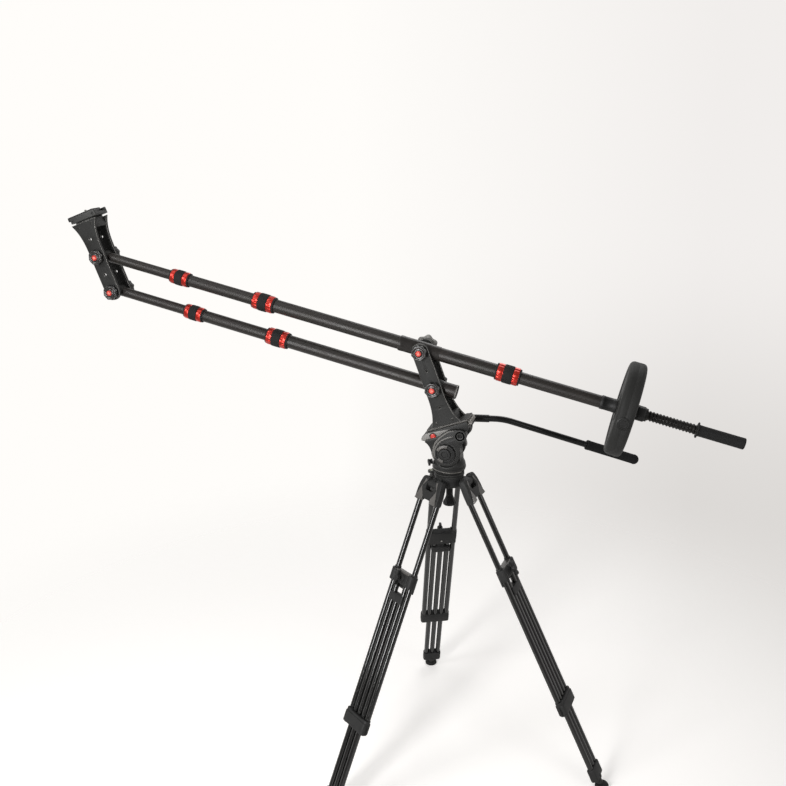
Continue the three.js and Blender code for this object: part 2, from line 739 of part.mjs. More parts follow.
// Cradle: nose, slot, two round cheeks and the rosette bosses, in one casting.
const cradleTop = slideTopRise - gap;
const cradleLow = slideFloor - gap - cradleFloor;
const cheekTop = cradleLow + overrun;
const cheekOutline = new THREE.Shape();
cheekOutline.absarc(0, 0, cheekRadius, Math.PI - degrees(cheekWebAngle), degrees(cheekWebAngle), false);
cheekOutline.lineTo(rosetteSetback, cheekTop);
cheekOutline.lineTo(-cheekRadius, cheekTop);
cheekOutline.closePath();
const noseOutline = [
  [-cradleFront, cradleLow], [-cradleFront - cradleNoseReach, cradleLow + cradleNoseHeight / 2],
  [-cradleFront - cradleNoseReach / 2, cradleTop], [cradleRear, cradleTop],
  [cradleRear, cradleLow + cradleFloor / 2], [cradleRear - cradleFloor / 2, cradleLow],
];
const buttonHeight = (cradleLow + cradleTop) / 2 + releaseButtonRise;
const buttonX = releaseButtonSetback;
const cradle = cut(
  join(
    slab("y", noseOutline, -cradleHalfWidth, cradleHalfWidth),
    slab("y", cheekOutline, -cheekOuter, -cheekInner),
    slab("y", cheekOutline, cheekInner, cheekOuter),
    rod("y", rosetteRadius, -rosetteNearReach, rosetteFarReach, rosetteSetback, rosetteRise),
  ),
  block(
    -slidePlateFront - gap, cradleRear + overrun, -slidePlateHalfWidth - gap, slidePlateHalfWidth + gap,
    slideFloor - gap, cradleTop + overrun,
  ),
  rod("y", releaseButtonRadius + gap, -cradleHalfWidth - overrun,
    -cradleHalfWidth + releaseButtonDepth + gap, buttonX, buttonHeight, smallSides),
  rod("y", rosetteDishRadius, -rosetteNearReach - overrun, -rosetteNearReach + rosetteDishDepth,
    rosetteSetback, rosetteRise, smallSides),
);
piece(tilt, "head_tilt_cradle", cradle, "blackMetal");
const button = rod("y", releaseButtonRadius, -cradleHalfWidth - releaseButtonTravel,
  -cradleHalfWidth + releaseButtonDepth - releaseButtonTravel, buttonX, buttonHeight, smallSides);
piece(tilt, "plate_release_button", button, "redPlastic");
const dialFace = -cheekOuter - gap;
const dial = join(
  slab("y", lobedOutline(dragDialRadius, dragDialLobeDepth, dragDialTeeth), dialFace - dragDialLength, dialFace),
  rod("y", dragDialCapRadius, dialFace - dragDialLength - dragDialCapLength, dialFace),
);
piece(tilt, "tilt_drag_dial", dial, "blackPlastic");

// Pan body: round base with a bevelled shoulder, and the upright hub between the cheeks.
const panTop = -panBaseDrop + panWallHeight;
const hubOutline = new THREE.Shape();
hubOutline.moveTo(-panHubRadius, panTop - overrun);
hubOutline.lineTo(panHubRadius, panTop - overrun);
hubOutline.absarc(0, 0, panHubRadius, 0, Math.PI, false);
const cheekSweep = (from, to) => hole("y", cheekRadius + slideGap, from, to, 0, 0, roundSides);
const panBody = cut(
  join(
    turned("z", [
      [0, -panBaseDrop], [panBaseRadius, -panBaseDrop], [panBaseRadius, panTop],
      [panShoulderRadius, panTop + panShoulderHeight], [0, panTop + panShoulderHeight],
    ]),
    slab("y", hubOutline, -panHubHalfWidth, panHubHalfWidth),
  ),
  cheekSweep(-panBaseRadius - overrun, -panHubHalfWidth),
  cheekSweep(panHubHalfWidth, panBaseRadius + overrun),
);
piece(root, "head_pan_body", panBody, "blackMetal");

// Pan lock lever on the front of the pan body.
const panLever = group(root, 0, 0, -panLeverDrop - panLeverHubRadius, 0, panLeverAzimuth);
const leverRoot = panBaseRadius + gap;
const lever = join(
  rod("x", panLeverHubRadius, leverRoot, leverRoot + panLeverHubLength, 0, 0, smallSides),
  block(
    panLeverReach - panLeverThickness, panLeverReach, -panLeverThickness / 2,
    panLeverLength, -panLeverThickness / 2, panLeverThickness / 2,
  ),
);
piece(panLever, "pan_lock_lever", lever, "blackPlastic");

// Levelling base: flange, half ball, clamp stud and the round bubble level on its edge.
const ringTop = -panBaseDrop - gap;
const ringBottom = ringTop - baseRingHeight;

// The lower part of a ball below a height, as a profile: the base has one and the crown its seat.
function ballProfile(top, extra) {
  const points = [[0, top - ballHeight - extra]];
  for (let i = 0; i <= ballSteps; i++) {
    const drop = ballHeight * (1 - i / ballSteps);
    const r = Math.sqrt(ballRadius ** 2 - drop ** 2) + extra;
    points.push([r, i ? top - drop : top - drop - extra]);
  }
  return points;
}

const flangeProfile = [[baseFlangeRadius, ringBottom], [baseFlangeRadius, ringTop], [0, ringTop]];
const levelTurn = degrees(levelAzimuth);
const levelOut = baseFlangeRadius + levelOverhang;
const [levelX, levelY] = [levelOut * Math.cos(levelTurn), levelOut * Math.sin(levelTurn)];
const headBase = join(
  turned("z", [...ballProfile(ringBottom, 0), ...flangeProfile]),
  rod("z", baseStudRadius, ringBottom - baseStudDrop, ringBottom, 0, 0, smallSides),
  rod("z", levelRadius, ringTop - levelHeight, ringTop, levelX, levelY, smallSides),
);
piece(root, "head_level_base", headBase, "blackMetal");

// Pan handle: rosette, arm, bent bar, rubber grip and the knob that clamps it.
const handle = group(tilt, rosetteSetback, 0, rosetteRise, headPitch);
const handleBend = new THREE.Vector3(handleBendReach, handleBendSide, handleRise);
const handleHead = new THREE.Vector3(handleStart, handleSide, handleRise);
const handleEnd = new THREE.Vector3(handleEndReach, handleEndSide, handleEndRise);
const towards = (a, b, distance) => b.clone().sub(a).setLength(distance).add(a);
const handlePath = new THREE.CurvePath();
const bendIn = towards(handleBend, handleHead, handleBendLength);
const bendOut = towards(handleBend, handleEnd, handleBendLength);
handlePath.add(new THREE.LineCurve3(handleHead, bendIn));
handlePath.add(new THREE.QuadraticBezierCurve3(bendIn, handleBend, bendOut));
handlePath.add(new THREE.LineCurve3(bendOut, towards(handleEnd, handleBend, handleGripCover)));
const handleShape = new THREE.Shape().absarc(0, 0, handleRadius, 0, 2 * Math.PI, false);
const handleBar = solid(
  new THREE.ExtrudeGeometry(handleShape, { steps: handleSteps, curveSegments: arcSteps, extrudePath: handlePath }),
);
const armInner = rosetteFarReach + gap;
const armOutline = roundedOutline(
  handleClampRadius, -handleClampRadius, handleRise + handleClampRadius, handleClampRadius - gap,
);
const handleArm = slab("y", armOutline, armInner, handleClampOuter);
piece(handle, "pan_handle", join(handleArm, handleBar), "blackMetal");

// A hollow grip on the last stretch of the bar, closed and rounded at its end.
const gripAxis = handleEnd.clone().sub(handleBend).normalize();
const gripTip = handleEnd.clone().addScaledVector(gripAxis, handleGripRadius - handleRadius);
const handleGripBore = handleRadius + gap;
const gripDome = Array.from({ length: domeSteps + 1 }, (_, i) => {
  const turn = (Math.PI * i) / domeSteps / 2;
  return [handleGripRadius * Math.cos(turn), handleGripRadius * (Math.sin(turn) - 1)];
});
const handleGripProfile = [
  [handleGripBore, -handleGripLength], [handleGripRadius, -handleGripLength], ...gripDome,
  [0, handleRadius - handleGripRadius], [handleGripBore, handleRadius - handleGripRadius],
  [handleGripBore, -handleGripLength],
];
const handleGrip = new THREE.Group();
handleGrip.position.copy(gripTip);
handleGrip.quaternion.setFromUnitVectors(new THREE.Vector3(1, 0, 0), gripAxis);
handle.add(handleGrip);
piece(handleGrip, "pan_handle_grip", turned("x", handleGripProfile), "rubber");
const handleKnobFace = handleClampOuter + gap;
const handleKnob = slab(
  "y", lobedOutline(handleKnobRadius, knobLobeDepth, starKnobLobes), handleKnobFace,
  handleKnobFace + handleKnobLength,
);
piece(handle, "pan_handle_knob", handleKnob, "blackPlastic");

// Tripod crown: a bowl with three lugs.
const tripod = group(crane, 0, 0, 0);
const crownLow = crownTop - crownHeight;
const pivotHeight = crownTop - legPivotDrop;
const seatTop = tiltHeight + ringBottom;
const seatProfile = [...ballProfile(seatTop, gap), [ballRadius + gap, seatTop + overrun], [0, seatTop + overrun]];
let crown = rod("z", crownRadius, crownLow, crownTop);
for (const azimuth of Object.values(legAzimuths)) {
  const lug = join(
    block(0, legPivotRadius, -lugHalfWidth, lugHalfWidth, pivotHeight - lugRadius, pivotHeight + lugRadius),
    rod("y", lugRadius, -lugHalfWidth, lugHalfWidth, legPivotRadius, pivotHeight, smallSides),
  );
  const bore = hole(
    "y", legPinRadius + gap, -lugHalfWidth - overrun, lugHalfWidth + overrun, legPivotRadius, pivotHeight,
  );
  crown = join(crown, cut(lug, bore).rotate([0, 0, azimuth]));
}
const bowl = cut(
  crown,
  turned("z", seatProfile),
  rod("z", crownFloorHole, crownLow - overrun, crownTop),
);
piece(tripod, "tripod_crown", bowl, "blackMetal");

// The knob under the bowl pulls the half ball down on its stud.
const washerTop = crownLow - gap;
const knobLow = washerTop - bowlKnobLength;
const knobRimShare = 0.12; // of the knob's length, from its lower end
const knobTaperShare = 0.45;
const bowlKnob = cut(
  turned("z", [
    [0, knobLow], [bowlKnobRadius, knobLow], [bowlKnobRadius, knobLow + bowlKnobLength * knobRimShare],
    [bowlKnobNeckRadius, knobLow + bowlKnobLength * knobTaperShare],
    [bowlKnobNeckRadius, washerTop - bowlWasherHeight],
    [bowlWasherRadius, washerTop - bowlWasherHeight / 2], [bowlWasherRadius, washerTop], [0, washerTop],
  ]),
  hole("z", baseStudRadius + gap, seatTop - baseStudDrop - gap, washerTop + overrun),
);
piece(tripod, "bowl_clamp_knob", bowlKnob, "blackPlastic");

// Legs, made pointing down from the pivot, then spread.
const legTube = (side, from, to) => rod("z", legTubeRadius, -to, -from, 0, side, legTubeSides);
const legBore = (side, from, to) => rod("z", legTubeRadius + gap, -to, -from, 0, side, legTubeSides);
const casting = (top, bottom, corner, inner) =>
  slab("x", roundedOutline(castingHalfWidth, -bottom, -top, corner), -inner, castingOuter);

function legUpper() {
  const slot = lugHalfWidth + gap;
  const lugRoom = lugRadius + slideGap;
  const shoulder = cut(
    casting(-shoulderRise, shoulderDrop, shoulderCornerRadius, castingInner),
    block(
      -castingOuter, castingOuter + overrun, -slot, slot, -lugRoom - slotFloorRoom,
      shoulderRise + overrun,
    ),
  );
  const pin = rod("y", legPinRadius, -slot - overrun, slot + overrun, 0, 0, smallSides);
  const guide = cut(
    casting(guideTop, guideBottom, midClampCornerRadius, clampInner),
    ...[-innerTubeOffset, 0, innerTubeOffset].map((side) =>
      legBore(side, guideTop - overrun, guideBottom + overrun),
    ),
  );
  const tubes = [-outerTubeOffset, outerTubeOffset].map((side) =>
    legTube(side, shoulderDrop - overrun, guideTop + overrun),
  );
  return join(shoulder, pin, guide, ...tubes);
}

// The clamp slides on the two fixed tubes and carries three tubes that run to the foot. The middle one
// starts at the brace.
function legLower() {
  const clamp = cut(
    casting(midClampTop, midClampBottom, midClampCornerRadius, clampInner),
    ...[-outerTubeOffset, outerTubeOffset].map((side) =>
      legBore(side, midClampTop - overrun, midClampBottom + overrun),
    ),
  );
  const brace = block(
    -braceHalfThickness, braceHalfThickness, -braceHalfWidth + gap, braceHalfWidth - gap, -braceBottom, -braceTop,
  );
  const tubes = [-innerTubeOffset, 0, innerTubeOffset].map((side) =>
    legTube(side, side ? midClampBottom - overrun : braceTop, footCastingTop + overrun),
  );
  const foot = slab(
    "x", roundedOutline(footHalfWidth, -footCastingBottom, -footCastingTop, midClampCornerRadius),
    -footHalfThickness, footHalfThickness,
  );
  const neck = rod("z", footNeckRadius, -legLength + footPadHeight, -footCastingBottom + overrun, 0, 0, smallSides);
  const pad = rod("z", footPadRadius, 0, footPadHeight).rotate([0, legSpread, 0]);
  return join(clamp, brace, ...tubes, foot, neck, pad.translate([0, 0, -legLength]));
}

function wingKnob() {
  const stemEnd = castingOuter + gap + wingStemLength;
  const hubEnd = stemEnd + wingHubLength;
  return join(
    rod("x", wingStemRadius, castingOuter + gap, stemEnd + overrun, 0, 0, smallSides),
    rod("x", wingHubRadius, stemEnd, hubEnd, 0, 0, smallSides),
    block(
      stemEnd, stemEnd + wingReach, -wingThickness / 2, wingThickness / 2, -wingHalfLength, wingHalfLength,
    ),
  );
}

for (const [name, azimuth] of Object.entries(legAzimuths)) {
  const outwards = group(tripod, 0, 0, pivotHeight, 0, azimuth);
  const leg = group(outwards, legPivotRadius, 0, 0, -legSpread);
  piece(leg, `leg_${name}_upper`, legUpper(), "blackMetal");
  piece(leg, `leg_${name}_lower`, legLower(), "blackMetal");
  const wing = group(leg, 0, 0, -(midClampTop + midClampBottom) / 2);
  piece(wing, `leg_${name}_wing_knob`, wingKnob(), "blackPlastic");
}

// The origin goes below the middle of the crane, on the floor.
crane.updateMatrixWorld(true);
const bounds = new THREE.Box3().setFromObject(crane, true);
const middle = bounds.getCenter(new THREE.Vector3());
const whole = new THREE.Group();
crane.position.set(-middle.x, -middle.y, -bounds.min.z);
whole.add(crane);

export default whole;
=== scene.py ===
"""A camera jib crane on a fluid head and a twin-tube tripod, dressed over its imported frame."""
import json
import math

import bmesh
import bpy
from mathutils import Matrix, Vector
from mathutils.geometry import tessellate_polygon

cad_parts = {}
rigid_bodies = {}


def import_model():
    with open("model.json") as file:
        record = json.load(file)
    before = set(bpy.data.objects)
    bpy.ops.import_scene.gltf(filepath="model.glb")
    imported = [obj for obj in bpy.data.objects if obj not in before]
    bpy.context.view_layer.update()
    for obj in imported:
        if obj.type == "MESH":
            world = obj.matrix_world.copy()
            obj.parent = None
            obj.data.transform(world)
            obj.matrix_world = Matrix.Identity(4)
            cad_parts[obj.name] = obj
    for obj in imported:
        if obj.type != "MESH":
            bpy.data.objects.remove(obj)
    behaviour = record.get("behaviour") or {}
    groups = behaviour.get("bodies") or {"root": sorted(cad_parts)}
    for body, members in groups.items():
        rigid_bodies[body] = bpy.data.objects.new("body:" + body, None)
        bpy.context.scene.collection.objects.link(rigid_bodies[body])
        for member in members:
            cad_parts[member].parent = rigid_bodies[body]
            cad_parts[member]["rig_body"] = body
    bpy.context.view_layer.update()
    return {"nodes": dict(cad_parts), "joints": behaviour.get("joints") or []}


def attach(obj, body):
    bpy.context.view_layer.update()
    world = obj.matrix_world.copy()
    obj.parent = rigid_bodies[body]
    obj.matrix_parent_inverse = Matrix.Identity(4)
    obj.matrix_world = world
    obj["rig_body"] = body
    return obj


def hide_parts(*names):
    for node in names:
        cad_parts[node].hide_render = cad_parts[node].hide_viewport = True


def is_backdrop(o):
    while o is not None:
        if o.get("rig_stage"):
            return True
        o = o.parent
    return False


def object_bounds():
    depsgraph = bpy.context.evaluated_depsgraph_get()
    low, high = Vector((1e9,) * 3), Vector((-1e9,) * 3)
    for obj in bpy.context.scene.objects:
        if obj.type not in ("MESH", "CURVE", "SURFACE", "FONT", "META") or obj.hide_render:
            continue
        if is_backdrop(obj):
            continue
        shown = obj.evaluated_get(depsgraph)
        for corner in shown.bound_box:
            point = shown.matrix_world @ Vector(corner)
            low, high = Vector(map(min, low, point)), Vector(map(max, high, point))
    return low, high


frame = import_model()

# Camera: a standing photographer at the near side, a little behind the middle of the crane. The
# 41 mm lens is on a full-frame body that is held very slightly off level.
camera = bpy.data.objects.new("photographer", bpy.data.cameras.new("photographer"))
bpy.context.scene.collection.objects.link(camera)
bpy.context.scene.camera = camera
camera.data.lens = 41.35
camera.data.sensor_width = 36
eye = Vector((0.6519, -2.1763, 1.75395))
ahead = Vector((-0.27185, 0.91647, -0.29357)).normalized()
camera_roll = math.radians(-1.802)
level_right = ahead.cross(Vector((0, 0, 1))).normalized()
level_up = level_right.cross(ahead)
right = level_right * math.cos(camera_roll) + level_up * math.sin(camera_roll)
up = level_up * math.cos(camera_roll) - level_right * math.sin(camera_roll)
camera.matrix_world = Matrix.Translation(eye) @ Matrix((right, up, -ahead)).transposed().to_4x4()

# Studio: a seamless paper sweep, near white, a little greyer towards the counterweight end. A tall
# strip lamp stands at the near left with a square one beyond it, and softer ones fill.
def linear(code):
    """An sRGB hex colour as the linear values that Blender's shaders take."""
    shares = [int(code[i:i + 2], 16) / 255 for i in (1, 3, 5)]
    return [s / 12.92 if s <= 0.04045 else ((s + 0.055) / 1.055) ** 2.4 for s in shares] + [1]


def add(tree, kind, settings=None, sockets=None):
    """Adds a shader node: settings are its own values, sockets are numbers, colours or links."""
    made = tree.nodes.new("ShaderNode" + kind)
    for key, value in (settings or {}).items():
        setattr(made, key, value)
    for key, value in (sockets or {}).items():
        if isinstance(value, bpy.types.NodeSocket):
            tree.links.new(value, made.inputs[key])
        else:
            made.inputs[key].default_value = value
    return made


scene = bpy.context.scene
scene.view_settings.view_transform = "Standard"
world = bpy.data.worlds.new("studio")
world.use_nodes = True
scene.world = world
tree = world.node_tree
tree.nodes.clear()
direction = add(tree, "SeparateXYZ", {}, {0: add(tree, "TexCoord").outputs["Generated"]})
sideways = add(tree, "MapRange", {}, {
    "Value": direction.outputs["X"], "From Min": -0.32, "From Max": 0.05, "To Min": 0, "To Max": 1})
paper = add(tree, "Mix", {"data_type": "RGBA"}, {
    0: sideways.outputs[0], 6: linear("#fffdfa"), 7: linear("#f1eeec")})
# Low down at the counterweight end the paper falls into a soft grey.
low_down = add(tree, "MapRange", {"interpolation_type": "SMOOTHSTEP"}, {
    "Value": direction.outputs["Z"], "From Min": -0.12, "From Max": -0.42, "To Min": 0, "To Max": 1})
shaded = add(tree, "Math", {"operation": "MULTIPLY"}, {0: sideways.outputs[0], 1: low_down.outputs[0]})
paper = add(tree, "Mix", {"data_type": "RGBA"}, {
    0: shaded.outputs[0], 6: paper.outputs[2], 7: linear("#dcd9d6")})
# In reflections the room is dimmer on the photographer's side and overhead, so that black surfaces
# stay black.
ray = add(tree, "LightPath")
nearwards = add(tree, "MapRange", {"interpolation_type": "SMOOTHSTEP"}, {
    "Value": direction.outputs["Y"], "From Min": 0.15, "From Max": -0.5, "To Min": 0, "To Max": 1})
overhead = add(tree, "MapRange", {"interpolation_type": "SMOOTHSTEP"}, {
    "Value": direction.outputs["Z"], "From Min": 0.42, "From Max": 0.75, "To Min": 0, "To Max": 1})
dim = add(tree, "Math", {"operation": "MAXIMUM"}, {0: nearwards.outputs[0], 1: overhead.outputs[0]})
dim = add(tree, "Math", {"operation": "MULTIPLY"}, {0: dim.outputs[0], 1: ray.outputs["Is Glossy Ray"]})
paper = add(tree, "Mix", {"data_type": "RGBA"}, {
    0: dim.outputs[0], 6: paper.outputs[2], 7: linear("#9a9896")})
seen = add(tree, "Math", {"operation": "MAXIMUM"}, {
    0: ray.outputs["Is Camera Ray"], 1: ray.outputs["Is Glossy Ray"]})
seen = add(tree, "Math", {"operation": "MAXIMUM"}, {
    0: seen.outputs[0], 1: ray.outputs["Is Transmission Ray"]})
shown = add(tree, "Background", {}, {"Color": paper.outputs[2], "Strength": 1})
room = add(tree, "Background", {}, {"Color": linear("#f4f3f1"), "Strength": 0.3})
both = add(tree, "MixShader", {}, {0: seen.outputs[0], 1: room.outputs[0], 2: shown.outputs[0]})
add(tree, "OutputWorld", {}, {"Surface": both.outputs[0]})

for name, place, aim, width, height, watts in (
    ("key strip softbox", (-0.6, -2.55, 1.3), (0.1, 0, 1.05), 0.4, 1.5, 52),
    ("front softbox", (-1.8, -2.0, 2.6), (-0.6, 0, 1.25), 0.9, 0.9, 24),
    ("overhead softbox", (-0.7, -0.5, 3.6), (0, 0, 0.9), 1.8, 1.8, 12),
    ("fill softbox", (2.4, -1.6, 1.6), (0.1, 0, 0.9), 1.2, 1.2, 10),
    ("back softbox", (0.4, 2.2, 3.0), (0, 0, 1.1), 1.6, 1.6, 22),
):
    lamp = bpy.data.lights.new(name, "AREA")
    lamp.shape = "RECTANGLE"
    lamp.size = width
    lamp.size_y = height
    lamp.energy = watts
    holder = bpy.data.objects.new(name, lamp)
    scene.collection.objects.link(holder)
    holder.visible_camera = False
    holder.location = place
    holder.rotation_euler = (Vector(aim) - Vector(place)).to_track_quat("-Z", "Y").to_euler()

floor_mesh = bmesh.new()
bmesh.ops.create_circle(floor_mesh, cap_ends=True, segments=96, radius=7)
floor_data = bpy.data.meshes.new("paper sweep")
floor_mesh.to_mesh(floor_data)
floor_mesh.free()
floor = bpy.data.objects.new("paper_sweep", floor_data)
scene.collection.objects.link(floor)
floor.location.z = -0.0005
floor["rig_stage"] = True
sweep = bpy.data.materials.new("Matt white background paper")
sweep.use_nodes = True
tree = sweep.node_tree
tree.nodes.clear()
# The paper is lit as any matt sheet near the tripod, and fades into the backdrop further out.
place = add(tree, "TexCoord").outputs["Object"]
distance = add(tree, "VectorMath", {"operation": "LENGTH"}, {0: place})
faded = add(tree, "MapRange", {"interpolation_type": "SMOOTHSTEP"}, {
    "Value": distance.outputs["Value"], "From Min": 0.55, "From Max": 2.2, "To Min": 0, "To Max": 1})
fibre = add(tree, "TexNoise", {}, {"Vector": place, "Scale": 900, "Detail": 2})
pressed = add(tree, "Bump", {}, {"Height": fibre.outputs[0], "Strength": 0.04, "Distance": 0.0004})
matt = add(tree, "BsdfDiffuse", {}, {
    "Color": linear("#f2f0ee"), "Normal": pressed.outputs[0]})
# To the camera the sheet is also backlit, as a studio's paper is: near white, with soft shadows left.
backlit = add(tree, "Math", {"operation": "MULTIPLY"}, {
    0: add(tree, "LightPath").outputs["Is Camera Ray"], 1: 0.34})
glow = add(tree, "Emission", {}, {"Color": linear("#fbf9f7"), "Strength": backlit.outputs[0]})
matt = add(tree, "AddShader", {}, {0: matt.outputs[0], 1: glow.outputs[0]})
clear = add(tree, "BsdfTransparent")
laid = add(tree, "MixShader", {}, {
    0: faded.outputs[0], 1: matt.outputs[0], 2: clear.outputs[0]})
add(tree, "OutputMaterial", {}, {"Surface": laid.outputs[0]})
floor_data.materials.append(sweep)

# Tripod crown: a bowl with three lugs, die-cast in aluminium and powder-coated black. The legs
# hinge on steel pins through the lugs.
pivot = {j["name"]: Vector(j["pos_m"]) for j in frame["joints"] if "pos_m" in j}
ALONG_Y = Matrix(((1, 0, 0, 0), (0, 0, 1, 0), (0, 1, 0, 0), (0, 0, 0, 1)))


def local(origin, pitch=0, turn=0):
    """A frame in millimetres at a world point, turned about Z and then pitched, in degrees."""
    turned_to = Matrix.Rotation(math.radians(turn), 4, "Z") @ Matrix.Rotation(math.radians(pitch), 4, "Y")
    return Matrix.Translation(origin) @ turned_to @ Matrix.Scale(0.001, 4)


def moved(x=0, y=0, z=0):
    """A shift in millimetres."""
    return Matrix.Translation((x, y, z))


def vectors(*places):
    """Points from plain numbers."""
    return [Vector(place) for place in places]


def blank():
    """An empty shape with the layer that holds its unrolled surface."""
    shape = bmesh.new()
    shape.loops.layers.uv.new("turned")
    return shape


def walls(shape, rings):
    """Faces between each ring of points and the next."""
    for below, above in zip(rings, rings[1:]):
        for i in range(len(below)):
            after = (i + 1) % len(below)
            shape.faces.new((below[i], below[after], above[after], above[i]))


def turned(profile, steps=48, lobes=0, closed=False):
    """Rings round Z from (radius, height) or (radius, height, depth of the hollows between lobes)."""
    shape = blank()
    laid_out = shape.loops.layers.uv["turned"]
    rings = []
    widest = max(station[0] for station in profile)
    for radius, height, *hollow in profile:
        ring = []
        for i in range(steps if radius else 1):
            angle = math.tau * i / steps
            r = radius - (hollow[0] * (1 - math.cos(lobes * angle)) / 2 if hollow else 0)
            ring.append(shape.verts.new((r * math.cos(angle), r * math.sin(angle), height)))
        rings.append(ring)
    if closed:
        rings.append(rings[0])
    for below, above in zip(rings, rings[1:]):
        for i in range(steps):
            corners = [(below, i), (below, i + 1), (above, i + 1), (above, i)]
            verts = list(dict.fromkeys(ring[k % len(ring)] for ring, k in corners))
            if len(verts) < 3:
                continue
            face = shape.faces.new(verts)
            for loop in face.loops:
                k = i + 1 if loop.vert in (below[(i + 1) % len(below)], above[(i + 1) % len(above)]) else i
                loop[laid_out].uv = (math.tau * k / steps * widest / 1000, loop.vert.co.z / 1000)
    return shape


def raised(level, profile):
    """A profile whose heights are measured from a level."""
    return [(radius, level + height, *hollow) for radius, height, *hollow in profile]


def slab(outline, low, high, edge=0.8, holes=(), edge_steps=3):
    """A flat outline given thickness along Z, with its rims rounded to the edge radius."""
    shape = blank()
    edge = min(edge, (high - low) / 2.01)
    quarter = [math.pi / 2 * i / edge_steps for i in range(edge_steps + 1)]
    levels = [(edge * (1 - math.sin(a)), low + edge * (1 - math.cos(a))) for a in quarter]
    levels += [(inset, high + low - z) for inset, z in reversed(levels)]
    bottom, top = [], []
    for number, loop in enumerate([outline, *holes]):
        points = [Vector(p[:2]) for p in loop]
        area = sum(a.x * b.y - b.x * a.y for a, b in zip(points, points[1:] + points[:1]))
        if (area < 0) != (number > 0):
            points.reverse()
        slopes = []
        for i, p in enumerate(points):
            a = (p - points[i - 1]).normalized()
            b = (points[(i + 1) % len(points)] - p).normalized()
            inwards = Vector((-(a.y + b.y), a.x + b.x)).normalized()
            slopes.append(inwards / max(inwards.dot(Vector((-a.y, a.x))), 0.4))
        rings = []
        for inset, z in levels:
            rings.append([shape.verts.new((*(p + s * inset), z)) for p, s in zip(points, slopes)])
        walls(shape, rings)
        bottom.append(rings[0])
        top.append(rings[-1])
    for loops in (bottom, top):
        flat = [v for loop in loops for v in loop]
        for triangle in tessellate_polygon([[v.co for v in loop] for loop in loops]):
            shape.faces.new([flat[i] for i in triangle])
    return shape


def piece(name, node, material, frame_mm, shapes, stands_for=True, slot=None):
    """Joins shapes, each with its own place, into one smooth mesh that rides with a CAD node."""
    whole = blank()
    for shape, place in shapes:
        shape.transform(frame_mm @ place)
        bmesh.ops.recalc_face_normals(shape, faces=shape.faces[:])
        part = bpy.data.meshes.new("part")
        shape.to_mesh(part)
        shape.free()
        whole.from_mesh(part)
        bpy.data.meshes.remove(part)
    bmesh.ops.dissolve_degenerate(whole, dist=1e-7, edges=whole.edges[:])
    data = bpy.data.meshes.new(name)
    whole.to_mesh(data)
    whole.free()
    data.shade_smooth()
    data.set_sharp_from_angle(angle=math.radians(37))
    data.materials.append(material)
    made = bpy.data.objects.new(name, data)
    bpy.context.scene.collection.objects.link(made)
    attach(made, frame["nodes"][node]["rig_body"])
    if stands_for:
        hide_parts(node)
    return made


def surface(name, sockets):
    """A material with one principled shader, ready for its pattern. Gives its tree and shader."""
    made = bpy.data.materials.new(name)
    made.use_nodes = True
    shader = made.node_tree.nodes["Principled BSDF"]
    for key, value in sockets.items():
        shader.inputs[key].default_value = value
    return made, made.node_tree, shader


def connect(tree, shader, colour, gloss, normal):
    """Gives a shader its pattern."""
    tree.links.new(colour, shader.inputs["Base Color"])
    tree.links.new(gloss, shader.inputs["Roughness"])
    tree.links.new(normal, shader.inputs["Normal"])


def skin(name, colours, rough, grain, depth, patch, sockets, edge_wear_and_highlight=None):
    """A plain skin: grain of a size and depth in mm, patches of colour and gloss, edges lightened for wear
    and as painted highlight.
    """
    made, tree, shader = surface(name, sockets)
    where = add(tree, "TexCoord").outputs["Object"]
    clouds = add(tree, "TexNoise", {}, {
        "Vector": where, "Scale": 1000 / patch, "Detail": 5, "Roughness": 0.6})
    tone = add(tree, "MapRange", {}, {"Value": clouds.outputs[0], "From Min": 0.32, "From Max": 0.68})
    colour = add(tree, "Mix", {"data_type": "RGBA"}, {
        0: tone.outputs[0], 6: linear(colours[0]), 7: linear(colours[1])})
    # Convex edges are painted lighter: partly wear, partly a painted highlight along the rims.
    if edge_wear_and_highlight:
        bend = add(tree, "NewGeometry").outputs["Pointiness"]
        wear_and_highlight_mask = add(tree, "MapRange", {}, {
            "Value": bend, "From Min": 0.53, "From Max": 0.62, "To Min": 0, "To Max": 0.55})
        colour = add(tree, "Mix", {"data_type": "RGBA"}, {
            0: wear_and_highlight_mask.outputs[0], 6: colour.outputs[2], 7: linear(edge_wear_and_highlight)})
    grit = add(tree, "TexNoise", {}, {"Vector": where, "Scale": 1000 / grain, "Detail": 2})
    gloss = add(tree, "MapRange", {}, {
        "Value": clouds.outputs[0], "From Min": 0.3, "From Max": 0.7,
        "To Min": rough[0], "To Max": rough[1]})
    relief = add(tree, "Bump", {}, {"Height": grit.outputs[0], "Strength": 0.5, "Distance": depth / 1000})
    connect(tree, shader, colour.outputs[2], gloss.outputs[0], relief.outputs[0])
    return made


# Powder coat on a die casting: a dull black with a fine pebbled grain. The powder melts to grains
# of about 0.3 mm, which are drawn at 1.2 mm so that they show.
cast_paint = skin(
    "Powder-coated die-cast aluminium", ("#1b1b1b", "#262626"), (0.5, 0.64), 1.2, 0.12, 34,
    {"IOR": 1.5, "Specular IOR Level": 0.25}, edge_wear_and_highlight="#4a4a49")
# Zinc-plated steel, for the legs' rivets and the camera screw: a dull silver with a slight blotch
# from the plating bath.
zinc_plate = skin(
    "Zinc-plated steel", ("#a9a8a4", "#c3c2be"), (0.28, 0.42), 0.8, 0.02, 6, {"Metallic": 1.0})

